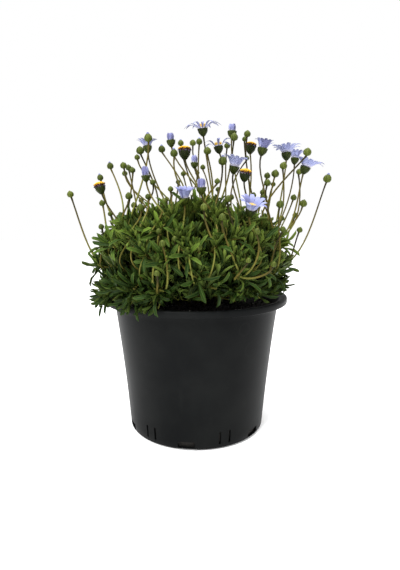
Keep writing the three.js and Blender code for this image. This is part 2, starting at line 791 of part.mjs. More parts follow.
// The pot and its soil, cut with solids.

function solidOf(geometry) {
  const bare = geometry.clone();
  bare.deleteAttribute("normal");
  bare.deleteAttribute("uv");
  const merged = mergeVertices(bare, 1e-4);
  const triangles = [];
  for (let i = 0; i < merged.index.count; i += 3) {
    const [a, b, c] = merged.index.array.slice(i, i + 3);
    if (a !== b && b !== c && a !== c) triangles.push(a, b, c);
  }
  const mesh = new wasm.Mesh({
    numProp: 3,
    vertProperties: new Float32Array(merged.attributes.position.array),
    triVerts: new Uint32Array(triangles),
  });
  return new wasm.Manifold(mesh);
}

function geometryOf(solid) {
  const mesh = solid.getMesh();
  return new THREE.BufferGeometry()
    .setAttribute("position", new THREE.BufferAttribute(new Float32Array(mesh.vertProperties), 3))
    .setIndex(new THREE.BufferAttribute(new Uint32Array(mesh.triVerts), 1))
    .toNonIndexed();
}

// A block that spans the pot's wall at an angle, for cutting a drain hole.
function wallBlock(angle, width, low, high, depth) {
  const block = new THREE.BoxGeometry(depth, width, high - low);
  block.translate(outerRadius((low + high) / 2), 0, (low + high) / 2);
  block.rotateZ(angle);
  return solidOf(block);
}

function potSolid() {
  const top = POT.height;
  const skirt = top - POT.rimHeight;
  const points = [[0, 0], [64, 0], [outerRadius(0), 2.4]];
  const rim = POT.rimRadius;
  points.push([outerRadius(60), 60], [outerRadius(skirt - 2), skirt - 2], [rim - 7, skirt + 1]);
  points.push([rim - 1.8, skirt + 1.4], [rim - 1.6, skirt], [rim - 0.6, skirt], [rim, skirt + 1.2]);
  points.push([rim, top - 1.6], [rim - 1.4, top], [rim - 3.8, top], [rim - 7.8, top - 1.6]);
  points.push([innerRadius(skirt), skirt - 3]);
  points.push([innerRadius(60), 60], [innerRadius(POT.floor), POT.floor], [0, POT.floor]);
  const outline = points.map(([r, z]) => new THREE.Vector2(r, z));
  let solid = solidOf(new THREE.LatheGeometry(outline, POT.sides).rotateX(Math.PI / 2));
  for (let i = 0; i < DRAIN.count; i += 1) {
    const step = (2 * Math.PI) / DRAIN.count;
    const window = DRAIN.firstAngle + i * step;
    solid = solid.subtract(wallBlock(window, DRAIN.windowWidth, DRAIN.windowLow, DRAIN.windowHigh, 12));
    solid = solid.subtract(wallBlock(window, DRAIN.archWidth, -1, DRAIN.archRise, 16));
    for (const side of [-1, 1]) {
      const slit = window + step / 2 + side * DRAIN.slitSpread;
      solid = solid.subtract(wallBlock(slit, DRAIN.slitWidth, DRAIN.slitLow, DRAIN.slitHigh, 9));
    }
  }
  return geometryOf(solid);
}

// Height of the soil's bumpy top.
function soilHeight(x, y) {
  const out = Math.hypot(x, y) / innerRadius(SOIL.top);
  const across = Math.sin(0.19 * x + 1.3 * Math.sin(0.11 * y));
  const deep = Math.cos(0.23 * y + 0.7 * Math.sin(0.17 * x));
  return SOIL.top + SOIL.mound * (1 - out * out) + SOIL.grain * 0.5 * (across + deep) * (1 - out ** 6);
}

function soilSolid(stems) {
  const fit = Math.cos(Math.PI / POT.sides);
  const low = POT.floor + SEAT_GAP;
  const wall = [low, 60, SOIL.top].map((z) => new THREE.Vector2(innerRadius(z) * fit - SEAT_GAP, z));
  const edge = wall[2].x;
  const shares = Array.from({ length: SOIL.rings }, (_, i) => 1 - (i + 1) / SOIL.rings);
  const top = shares.map((share) => new THREE.Vector2(edge * share, SOIL.top));
  const outline = [new THREE.Vector2(0, low), ...wall, ...top];
  const lathe = new THREE.LatheGeometry(outline, SOIL.sides).rotateX(Math.PI / 2);
  const position = lathe.attributes.position;
  for (let i = 0; i < position.count; i += 1) {
    const x = position.getX(i);
    const y = position.getY(i);
    const isTop = position.getZ(i) > SOIL.top - 0.1 && Math.hypot(x, y) < edge - 1;
    if (isTop) position.setZ(i, soilHeight(x, y));
  }
  let solid = solidOf(lathe);
  for (const { stations } of stems) solid = solid.subtract(stemHole(stations[0].point));
  return geometryOf(solid);
}

// A plain hole round a stem's foot, a little wider and deeper than it.
function stemHole(foot) {
  const length = SOIL.holeDepth + 12;
  const hole = new THREE.CylinderGeometry(STEM.root + 0.9, STEM.root + 0.9, length, SOIL.holeSides);
  hole.rotateX(Math.PI / 2).translate(foot.x, foot.y, foot.z - SEAT_GAP + length / 2);
  return solidOf(hole);
}

// The finished part.

const FINISH = {
  pot: { color: 0x23272a, roughness: 0.48 },
  soil: { color: 0x1f1712, roughness: 0.95 },
  foliage: { color: 0x4f7a26, roughness: 0.6 },
  petals: { color: 0x8f98e0, roughness: 0.55 },
  disc: { color: 0xe8b81e, roughness: 0.8 },
};

function piece(name, finish, geometry) {
  geometry.computeVertexNormals();
  const mesh = new THREE.Mesh(geometry, new THREE.MeshStandardMaterial({ ...FINISH[finish], metalness: 0 }));
  mesh.name = name;
  return mesh;
}

function twoDigits(number) {
  return String(number).padStart(2, "0");
}

function build() {
  const dice = new Dice(BUSH.seed);
  const room = new Room();
  const stems = planStems(dice, room);
  const shoots = [...stems, ...planTwigs(dice, room, stems)];
  const heads = planHeads(room);
  planStalks(dice, room, shoots, heads);
  planLeaves(dice, room, shoots);

  const part = new THREE.Group();
  part.add(piece("pot", "pot", potSolid()));
  part.add(piece("soil", "soil", soilSolid(stems)));
  for (const stem of stems) {
    part.add(piece(`leafy_stem_${twoDigits(stem.index + 1)}`, "foliage", leafyStem(stem)));
  }
  const blooms = heads.filter(({ kind }) => kind !== "bud" && kind !== "tipped");
  blooms.forEach((head, i) => {
    if (head.petal) part.add(piece(`petals_${twoDigits(i + 1)}`, "petals", petalRing(head)));
    if (head.kind !== "opening") part.add(piece(`disc_${twoDigits(i + 1)}`, "disc", discSolid(head)));
  });
  return part;
}

export default build();
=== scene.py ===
"""A potted blue marguerite: a black nursery pot of soil and a bush of leafy stems, which carry
flower stalks with round green buds and blue blooms round yellow discs.

The plan of the plant is in millimetres, with +Z up and the front at -Y. It follows the same
seeded rule as the fixed frame, so each finer piece stands where its plain one does. Meshes are
in metres.
"""

import logging
import math
from dataclasses import dataclass, field
from enum import Enum, IntEnum
from typing import Callable, Optional, Sequence, Union

import bpy
import numpy as np
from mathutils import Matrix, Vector, noise
from numpy.typing import ArrayLike

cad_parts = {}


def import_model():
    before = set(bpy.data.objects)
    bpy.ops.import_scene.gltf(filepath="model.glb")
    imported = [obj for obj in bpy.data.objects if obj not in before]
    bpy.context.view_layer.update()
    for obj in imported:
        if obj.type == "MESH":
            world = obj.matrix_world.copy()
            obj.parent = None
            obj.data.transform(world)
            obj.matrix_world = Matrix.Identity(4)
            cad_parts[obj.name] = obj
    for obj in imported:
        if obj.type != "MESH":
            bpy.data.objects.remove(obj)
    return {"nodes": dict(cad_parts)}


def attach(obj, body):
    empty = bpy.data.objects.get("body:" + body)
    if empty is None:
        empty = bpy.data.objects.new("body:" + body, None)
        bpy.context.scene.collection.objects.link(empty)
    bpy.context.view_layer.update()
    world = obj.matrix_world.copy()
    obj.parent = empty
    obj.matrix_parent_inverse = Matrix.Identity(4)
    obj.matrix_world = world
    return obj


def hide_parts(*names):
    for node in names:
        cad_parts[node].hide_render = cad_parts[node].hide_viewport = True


log = logging.getLogger("blue_marguerite")

Array = np.ndarray
Number = Union[int, float]
Rows = Sequence[tuple[float, float]]
Object = bpy.types.Object
Material = bpy.types.Material

MM = 0.001
TURN = 2.0 * math.pi
GOLDEN_ANGLE = math.pi * (3.0 - math.sqrt(5.0))
UP = np.array([0.0, 0.0, 1.0])
BODY = "root"


class Kind(Enum):
    """How far a flower head has come."""

    BUD = "bud"
    TIPPED = "tipped"
    OPENING = "opening"
    OPEN = "open"
    SPENT = "spent"


@dataclass(frozen=True)
class PotSize:
    """Sizes of the nursery pot, in millimetres."""

    height: float = 130.0
    rim_radius: float = 88.0
    rim_height: float = 5.8
    foot_radius: float = 66.2
    base_radius: float = 64.0
    taper: float = 0.075
    flare: float = 0.00026
    wall: float = 1.8
    floor: float = 2.4
    clearance: float = 0.8

    def outer(self, z: float) -> float:
        """Return the wall's outer radius at a height."""
        return self.foot_radius + self.taper * z + self.flare * z * z

    def inner(self, z: float) -> float:
        """Return the wall's inner radius at a height."""
        return self.outer(z) - self.wall


@dataclass(frozen=True)
class DrainSize:
    """Sizes of the drain holes round the pot's foot, in millimetres and degrees."""

    count: int = 6
    first_angle: float = -98.0
    window_width: float = 15.0
    window_low: float = 2.6
    window_high: float = 8.6
    arch_width: float = 19.0
    arch_rise: float = 1.9
    slit_width: float = 2.0
    slit_low: float = 5.0
    slit_high: float = 17.0
    slit_spread: float = 4.0


@dataclass(frozen=True)
class SoilSize:
    """Sizes of the soil, in millimetres."""

    top: float = 119.0
    mound: float = 3.5
    grain: float = 1.1
    hole_depth: float = 12.0


@dataclass(frozen=True)
class BushSize:
    """The bush's spread and how stems, twigs and stalks grow, in millimetres, shares and degrees."""

    stems: int = 24
    seed: int = 2417
    crown_radius: float = 32.0
    reach: float = 88.0
    rise: float = 50.0
    left_lean: float = 0.03
    left_droop: float = 20.0
    lowest: float = 1.34
    twig_span: float = 20.0
    stem_root: float = 1.9
    stem_tip: float = 1.1
    stem_fork: float = 0.56
    stem_joints: int = 3
    twig_root: float = 1.0
    twig_tip: float = 0.95
    twig_joints: int = 2
    joint_length: float = 1.3
    joint_pitch: float = 3.4
    joint_twist: float = 0.15
    stem_first: float = 0.28
    twig_first: float = 0.45
    crown_height: float = 4.0
    crown_rise: float = 14.0
    shoulder_out: float = 0.42
    shoulder_up: float = 0.8
    shoulder_lift: float = 9.0
    stalk_radius: float = 0.8
    stalk_drop: float = 42.0
    stalk_pull: float = 0.12
    stalk_crowding: float = 9.0
    stalk_choices: int = 16
    stalk_bend: float = 0.45
    stalk_handle: float = 0.3
    stalk_leave: float = 0.8
    stalk_least: float = 0.42
    neck_share: float = 0.85
    head_up: float = 1.4
    head_out: float = 0.5
    head_lean: float = 1.6
    leaf_start: float = 30.0
    leaf_opening: float = 17.0
    leaf_least: float = 0.35


@dataclass(frozen=True)
class BladeSize:
    """Sizes of leaves, petals and discs, in millimetres and shares of a radius."""

    leaf_length: float = 26.0
    leaf_half: float = 2.5
    leaf_fold: float = 0.4
    leaf_rise: float = 0.3
    petal_count: int = 12
    petal_half: float = 1.75
    hub_radius: float = 3.3
    hub_opening: float = 0.72
    hub_thickness: float = 1.0
    seat_gap: float = 0.3
    disc_share: float = 0.92
    disc_rise: float = 2.2
    spent_share: float = 0.96
    spent_rise: float = 2.6


POT = PotSize()
DRAIN = DrainSize()
SOIL = SoilSize()
BUSH = BushSize()
BLADE = BladeSize()
BUSH_CENTRE = np.array([-2.0, 0.0, 163.0])

# The gaps that the plan keeps, the step between balls, and how far a branch's root reaches.
STEM_GAP = 1.0
STALK_GAP = 0.9
LEAF_GAP = 0.55
HOST_GAP = 0.3
STEP = 2.2
ROOT_ZONE = 3.4
ROOM_FOR_RODS = 8192

# How much longer a curve is than its chord, how near an edge counts as on it, and the least
# angle between two branches from nearby places.
SLACK = 1.1
EDGE = 1e-3
LEAST_FORK = math.cos(math.radians(31.0))

# The turns, bows and swings that the plan tries in order until a piece is clear.
STEM_SWINGS = (0, 5, -5, 9, -9, 13, -13, 17, -17)
TWIG_TURNS = (0, 0.4, -0.4, 0.8, -0.8, 1.2, -1.2, 1.6, -1.6, 2, -2)
STALK_BOWS = (0.03,) + (0.09,) * 3 + (0.16,) * 4 + (0.24,) * 5
LEAF_TURNS = ((0, 0), (0.3, 0), (-0.3, 0), (0, 0.3), (0, -0.2), (0.45, 0.3), (-0.45, 0.3), (0, 0.6))

# The flower heads as they stand round the plant: kind, across, depth and height of the head's
# middle, and its radius. A bloom adds its petals' length, how far they spread from the head's
# axis in degrees, and how far the head leans across and in depth.
HEADS = [
    ("bud", -119, -5, 226, 3.2),
    ("tipped", -94, 12, 243, 3.1),
    ("spent", -89, -12, 231, 4.7),
    ("tipped", -87, 28, 256, 3.4),
    ("bud", -85, -25, 217, 2.8),
    ("bud", -84, 6, 208, 2.6),
    ("bud", -81, 46, 208, 2.8),
    ("bud", -73, 24, 256, 3.4),
    ("bud", -72, 50, 257, 3.2),
    ("bud", -61, 2, 249, 2.9),
    ("bud", -79, 68, 253, 3.1),
    ("bud", -54, 8, 268, 3.9),
    ("bud", -61, 38, 266, 2.9),
    ("tipped", -44, -12, 276, 3.8),
    ("opening", -50, 36, 275, 4.4, 9, 42, 0, 0),
    ("tipped", -36, 44, 275, 3.7),
    ("opening", -25, 20, 278, 4.2, 7, 8, -0.05, 0),
    ("tipped", -17, 66, 285, 3.3),
    ("spent", -11, -5, 264, 5.4),
    ("tipped", -20, -22, 261, 3.5),
    ("bud", -4, 82, 288, 3.6),
    ("tipped", 3, 46, 283, 3.4),
    ("opening", -2, 30, 258, 3.7, 7, 14, 0, 0),
    ("bud", 7, 62, 259, 2.9),
    ("bud", 1, 78, 255, 2.6),
    ("opening", -44, -36, 239, 3.7, 7, 10, 0.05, 0),
    ("bud", -41, -6, 237, 2.8),
    ("bud", -14, 52, 251, 2.8),
    ("bud", -19, 35, 241, 2.4),
    ("bud", -22, -46, 228, 2.4),
    ("opening", -10, -51, 219, 4.3, 10, 30, 0.05, -0.1),
    ("opening", 4, -60, 227, 4.0, 6.5, 8, 0, 0),
    ("bud", -60, -30, 223, 3.3),
    ("bud", -42, -40, 222, 2.5),
    ("bud", -60, 0, 216, 2.9),
    ("bud", -46, -60, 212, 3.2),
    ("bud", -28, -50, 217, 3.0),
    ("bud", 6, -75, 212, 3.0),
    ("bud", -85, -32, 196, 2.6),
    ("open", 6, 0, 285, 4.6, 13.5, 82, -0.16, -0.06),
    ("bud", 10, -16, 264, 3.5),
    ("opening", 36, 32, 289, 4.5, 7, 6, -0.05, 0),
    ("bud", 35, -6, 278, 3.7),
    ("bud", 49, 10, 284, 3.3),
    ("bud", 50, 42, 285, 2.7),
    ("open", 22, 20, 272, 4.4, 11, 66, -0.25, 0.1),
    ("bud", 33, 58, 281, 3.3),
    ("tipped", 23, -32, 253, 3.9),
    ("open", 34, -22, 248, 4.4, 12, 40, 0.08, -0.05),
    ("spent", 54, 24, 273, 5.0),
    ("opening", 62, -2, 267, 4.6, 9.5, 32, 0.1, 0),
    ("bud", 56, 72, 270, 2.7),
    ("spent", 42, -38, 240, 4.6),
    ("open", 88, 14, 265, 4.6, 12, 58, -0.22, 0.1),
    ("opening", 104, 48, 265, 4.2, 9, 34, -0.1, 0),
    ("open", 96, -30, 247, 4.4, 12, 62, 0.14, -0.05),
    ("bud", 91, -56, 257, 3.4),
    ("bud", 78, -24, 250, 3.4),
    ("bud", 99, 5, 248, 3.0),
    ("bud", 74, -6, 245, 3.7),
    ("bud", 71, 22, 246, 3.2),
    ("bud", 62, -36, 234, 3.1),
    ("bud", 80, 38, 239, 2.6),
    ("tipped", 125, 0, 241, 4.0),
    ("bud", 96, 12, 224, 3.1),
    ("bud", 98, -20, 217, 3.5),
    ("bud", 71, -50, 215, 3.4),
    ("bud", 101, 25, 207, 2.7),
    ("bud", 94, -26, 193, 2.7),
    ("open", 44, -66, 209, 4.3, 11.5, 44, 0.05, -0.3),
    ("bud", 51, -28, 224, 2.6),
    ("bud", 65, 10, 229, 2.8),
    ("bud", 63, -14, 223, 3.0),
    ("bud", 18, -40, 235, 2.5),
    ("bud", 26, -58, 219, 3.0),
    ("bud", 20, -82, 204, 3.0),
    ("bud", 47, -84, 193, 2.6),
    ("bud", 72, -60, 194, 2.6),
    ("bud", -30, -76, 193, 2.4),
    ("bud", -26, -90, 184, 2.8),
    ("bud", -19, -66, 193, 2.5),
    ("bud", -17, -82, 187, 2.6),
    ("bud", 2, -89, 181, 2.6),
    ("bud", -30, -98, 162, 2.4),
    ("bud", 61, -82, 167, 2.4),
    ("bud", 40, -90, 171, 2.2),
    ("bud", -62, 72, 224, 3.0),
    ("bud", -34, 84, 226, 2.8),
    ("bud", 12, 92, 222, 3.1),
    ("tipped", 40, 82, 228, 3.3),
    ("bud", 72, 66, 222, 2.8),
    ("bud", -82, 62, 196, 2.6),
    ("bud", -10, 96, 200, 2.7),
    ("bud", 52, 92, 198, 2.6),
    ("bud", 92, 48, 204, 2.9),
    ("bud", 24, 70, 236, 2.8),
]


# Vectors and curves.


def length_of(v: Array) -> float:
    """Return a vector's length."""
    return math.sqrt(v[0] * v[0] + v[1] * v[1] + v[2] * v[2])


def unit(v: Array) -> Array:
    """Return a vector made one long."""
    return v * (1.0 / (length_of(v) or 1.0))


def cross(a: Array, b: Array) -> Array:
    """Return the cross product of two vectors."""
    return np.array([a[1] * b[2] - a[2] * b[1], a[2] * b[0] - a[0] * b[2], a[0] * b[1] - a[1] * b[0]])


def dot(a: Array, b: Array) -> float:
    """Return the dot product of two vectors."""
    return a[0] * b[0] + a[1] * b[1] + a[2] * b[2]


def square(direction: Array, heading: Array) -> Array:
    """Return a direction laid square to the heading."""
    return unit(direction - heading * dot(direction, heading))


def side_of(heading: Array, steepest: float) -> Array:
    """Return a direction square to a heading, near +Z unless the heading is too steep."""
    return square(UP if abs(heading[2]) < steepest else np.array([1.0, 0.0, 0.0]), heading)


def around(heading: Array, first: Array, angle: float) -> Array:
    """Return the direction at an angle round the heading, from the first direction."""
    return unit(first * math.cos(angle) + cross(heading, first) * math.sin(angle))


def ray_at(turn: float) -> Array:
    """Return the level direction at a bearing."""
    return np.array([math.cos(turn), math.sin(turn), 0.0])


def straight(start: Array, end: Array) -> list[Array]:
    """Return the control points of a straight line."""
    return [start + (end - start) * share for share in (0, 1 / 3, 2 / 3, 1)]


def sideways(controls: Sequence[Sequence[Array]], hint: Array) -> Array:
    """Return a way across each curve, as near a hint as it can lie."""
    return np.array([square(hint, unit(curve[3] - curve[0])) for curve in controls])


def along(controls: Sequence[Array], t: float) -> tuple[Array, Array]:
    """Return the point at t on the curve of these control points, and the heading there."""
    row = list(controls)
    while len(row) > 2:
        row = [a + (b - a) * t for a, b in zip(row, row[1:])]
    return row[0] + (row[1] - row[0]) * t, unit(row[1] - row[0])


def through(points: Array, times: tuple[float, float]) -> Array:
    """Find the cubic that passes through four points.

    Args:
        points: The points, in order, along the last axis but one.
        times: Where the curve passes the two inner points.

    Returns:
        The four control points of each curve, in the same shape.
    """
    points = np.asarray(points, float)
    weights = np.array([bernstein(np.array(times))[:, k] for k in range(4)])
    inner = points[..., 1:3, :] - np.einsum("kt,...kd->...td", weights[[0, 3]], points[..., [0, 3], :])
    solved = np.einsum("ct,...td->...cd", np.linalg.inv(weights[1:3].T), inner)
    return np.concatenate([points[..., :1, :], solved, points[..., 3:, :]], axis=-2)


def bernstein(t: Array) -> Array:
    """Return the four cubic weights at each time."""
    s = 1.0 - t
    return np.stack([s**3, 3 * t * s**2, 3 * t**2 * s, t**3], axis=-1)


def bernstein_slope(t: Array) -> Array:
    """Return the slopes of the four cubic weights at each time."""
    s = 1.0 - t
    return np.stack([-3 * s**2, 3 * s**2 - 6 * t * s, 6 * t * s - 3 * t**2, 3 * t**2], axis=-1)


class Dice:
    """One seeded sequence, from which every draw comes."""

    def __init__(self, seed: int) -> None:
        """Start the sequence at a seed."""
        self.state = seed

    def between(self, low: float, high: float) -> float:
        """Draw a number between two others."""
        self.state = (self.state * 1664525 + 1013904223) % 4294967296
        return low + ((high - low) * self.state) / 4294967296

    def row(self, count: int, low: float, high: float) -> Array:
        """Draw several numbers between two others."""
        return np.array([self.between(low, high) for _ in range(count)])


# The plan of the plant.


@dataclass
class Balls:
    """What a piece takes up: balls on a line of points, some of them near its root."""

    points: Array
    radii: Array
    at_root: Array

    @staticmethod
    def on(points: Sequence[Array], radii: Sequence[float]) -> "Balls":
        """Set balls along a line of points with these radii."""
        all_points, all_radii = [], []
        for i in range(1, len(points)):
            run = points[i] - points[i - 1]
            count = math.ceil(length_of(run) / STEP)
            t = np.arange(1, count + 1) / count
            all_points.append(points[i - 1] + run * t[:, None])
            all_radii.append(radii[i - 1] + (radii[i] - radii[i - 1]) * t)
        laid = np.concatenate(all_points)
        near = np.sqrt(((laid - points[0]) ** 2).sum(1)) < ROOT_ZONE
        return Balls(laid, np.concatenate(all_radii), near)


def is_clear_of_pot(points: Array, radii: Union[float, Array]) -> Array:
    """Tell which balls lie above the rim, outside it, or inside the pot and above the soil."""
    out = np.hypot(points[..., 0], points[..., 1])
    margin = np.asarray(radii) + POT.clearance
    outside = (points[..., 2] > POT.height + margin) | (out > POT.rim_radius + margin)
    inside = out < POT.inner(POT.height - POT.rim_height) - margin
    return outside | (inside & (points[..., 2] > SOIL.top + SOIL.mound + margin))


class Room:
    """Where things are, as rods, each with its holder's number."""

    def __init__(self) -> None:
        """Start empty."""
        self.count = 0
        self.start = np.zeros((ROOM_FOR_RODS, 3))
        self.run = np.zeros((ROOM_FOR_RODS, 3))
        self.square = np.zeros(ROOM_FOR_RODS)
        self.radius = np.zeros(ROOM_FOR_RODS)
        self.holder = np.zeros(ROOM_FOR_RODS, int)
        self.numbers: dict[str, int] = {}

    def number(self, name: Optional[str]) -> int:
        """Return a holder's number, and -1 for none."""
        return -1 if name is None else self.numbers.setdefault(name, len(self.numbers))

    def add(self, holder: str, points: Sequence[Array], radii: Sequence[float]) -> None:
        """Add the rods along a line of points."""
        for i in range(1, len(points)):
            k = self.count
            self.start[k] = points[i - 1]
            self.run[k] = points[i] - points[i - 1]
            self.square[k] = max(length_of(self.run[k]) ** 2, 1e-9)
            self.radius[k] = max(radii[i], radii[i - 1])
            self.holder[k] = self.number(holder)
            self.count += 1

    def add_branch(self, host: str, points: Sequence[Array], radii: Sequence[float]) -> None:
        """Add a branch, whose first stretch belongs to the shoot that it leaves."""
        share = min(0.9, ROOT_ZONE / length_of(points[1] - points[0]))
        edge = points[0] + (points[1] - points[0]) * share
        self.add(host, [points[0], edge], [radii[0], radii[0] + (radii[1] - radii[0]) * share])
        self.add("branch", [edge, *points[1:]], radii)

    def is_clear(
        self, balls: Balls, gap: float, host: Optional[str] = None, guest: Optional[str] = None
    ) -> bool:
        """Tell whether balls keep their gap from all rods.

        Args:
            balls: The balls to test.
            gap: The least gap between a ball and a rod.
            host: The holder that the balls may touch near their root.
            guest: A holder that is left out of the test.

        Returns:
            True when the balls are clear of the rods and of the pot.
        """
        if not is_clear_of_pot(balls.points, balls.radii).all():
            return False
        n = self.count
        middle = balls.points[len(balls.points) // 2]
        reach = np.sqrt(((balls.points - middle) ** 2).sum(1)).max()
        far = reach + self.radius[:n] + gap + 4 + np.sqrt(self.square[:n])
        is_near = ((self.start[:n] - middle) ** 2).sum(1) < far * far
        near = np.flatnonzero(is_near & (self.holder[:n] != self.number(guest)))
        away = balls.points[:, None, :] - self.start[near]
        t = np.clip((away * self.run[near]).sum(2) / self.square[near], 0.0, 1.0)
        apart = ((away - self.run[near] * t[..., None]) ** 2).sum(2)
        is_host = (self.holder[near] == self.number(host))[None, :]
        root = balls.at_root[:, None]
        least = balls.radii[:, None] + self.radius[near] + np.where(is_host | root, HOST_GAP, gap)
        return bool(((apart >= least**2) | (is_host & root)).all())


@dataclass
class Station:
    """A ring of a shoot."""

    point: Array
    heading: Array
    side: Array
    radius: float


@dataclass
class Place:
    """Where a branch leaves a shoot: the place's point, its way out and the shoot's heading."""

    point: Array
    out: Array
    heading: Array
    first: Array
    wall: int = -1
    face: int = -1


@dataclass
class Head:
    """A flower head."""

    kind: Kind
    index: int
    at: Array
    axis: Array
    side: Array
    radius: float
    petal: float
    spread: float

    @property
    def holder(self) -> str:
        """Return the name under which the head's room is held."""
        return f"head {self.index}"

    @property
    def hub_radius(self) -> float:
        """Return the radius of the ring from which the petals leave."""
        return BLADE.hub_radius if self.kind is Kind.OPEN else self.radius * BLADE.hub_opening

    def hub_point(self, height: float) -> Array:
        """Return the middle of the hub at a height above its seat."""
        return self.at + self.axis * (self.radius * 0.4 + BLADE.seat_gap + height)

    def petal_paths(self, count: int, spread: float, reach: float) -> tuple[Array, Array]:
        """Lay out petals that leave the hub at part of their spread and bend out to more.

        Args:
            count: How many petals stand round the hub.
            spread: How far they spread from the head's axis, in radians.
            reach: Their length.

        Returns:
            The root, bend and tip of each petal, and its way out of the hub.
        """
        hub = self.hub_point(BLADE.hub_thickness / 2)
        paths, outs = [], []
        for i in range(count):
            out = around(self.axis, self.side, ((i + 0.5) / count) * TURN)
            inner = unit(self.axis * math.cos(spread * 0.75) + out * math.sin(spread * 0.75))
            outer = unit(self.axis * math.cos(spread * 1.2) + out * math.sin(spread * 1.2))
            root = hub + out * (self.hub_radius * math.cos(math.pi / count) + 0.4)
            bend = root + inner * (reach * 0.6)
            paths.append([root, bend, bend + outer * (reach * 0.4)])
            outs.append(out)
        return np.array(paths), np.array(outs)


@dataclass
class Leaf:
    """A leaf's midline of four points, its way across and its half width."""

    points: Array
    across: Array
    half: float

    @property
    def halves(self) -> list[float]:
        """Return the half width at each point of the midline."""
        return [0.3 * self.half, 0.68 * self.half, self.half, 0.0]

    def rows(self) -> list[tuple[list[Array], list[float]]]:
        """Return three rows of points and radii that cover the blade."""
        rows = []
        radii = [max(0.55, 0.36 * half) for half in self.halves]
        for row in (-1, 0, 1):
            points = []
            for i, point in enumerate(self.points):
                before, after = self.points[max(0, i - 1)], self.points[min(3, i + 1)]
                up = cross(unit(after - before), self.across)
                aside = 0.64 * self.halves[i]
                lift = abs(row) * aside * BLADE.leaf_fold
                points.append(point + self.across * (row * aside) + up * lift)
            rows.append((points, radii))
        return rows


@dataclass
class Stalk:
    """A flower stalk: its curve's control points, and the head that it carries."""

    controls: list[Array]
    head: Head


@dataclass
class Shoot:
    """A stem or twig, with what grows on it."""

    name: str
    controls: list[Array]
    stations: list[Station]
    joints: int
    radii: tuple[float, float]
    twigs: list["Shoot"] = field(default_factory=list)
    stalks: list[Stalk] = field(default_factory=list)
    leaves: list[Leaf] = field(default_factory=list)
    rays: list[tuple[Array, Array]] = field(default_factory=list)
    taken: list[tuple[int, int]] = field(default_factory=list)
    free: list[Place] = field(default_factory=list)
    ray: Array = field(default_factory=lambda: UP)

    def face_place(self, k: int, j: int) -> Place:
        """Return the place of face j in the wall below station k."""
        low, high = self.stations[k - 1], self.stations[k]
        corners = [
            ring.point + around(ring.heading, ring.side, (n * math.pi) / 2) * ring.radius
            for ring, n in ((low, j), (low, j + 1), (high, j + 1), (high, j))
        ]
        point = (corners[0] + corners[1] + corners[2] + corners[3]) * 0.25
        out = around(high.heading, high.side, ((j + 0.5) * math.pi) / 2)
        return Place(point, out, high.heading, unit(corners[0] - point), k, j % 4)

    def tip_place(self) -> Place:
        """Return the place at the shoot's tip."""
        last = self.stations[-1]
        return Place(last.point, last.heading, last.heading, last.side)

    def is_open(self, place: Place, beyond: Array, least: float) -> bool:
        """Tell whether a branch may leave a place towards a point."""
        way = unit(beyond - place.point)
        if dot(way, place.out) < least:
            return False
        for point, ray in self.rays:
            apart = point - place.point
            if length_of(apart) <= 5 and not (dot(ray, way) < LEAST_FORK and dot(apart, ray - way) > 0):
                return False
        return True

    def take(self, place: Place, beyond: Array) -> None:
        """Note that a branch leaves a place towards a point."""
        self.rays.append((place.point, unit(beyond - place.point)))
        self.taken.append((place.wall, place.face))


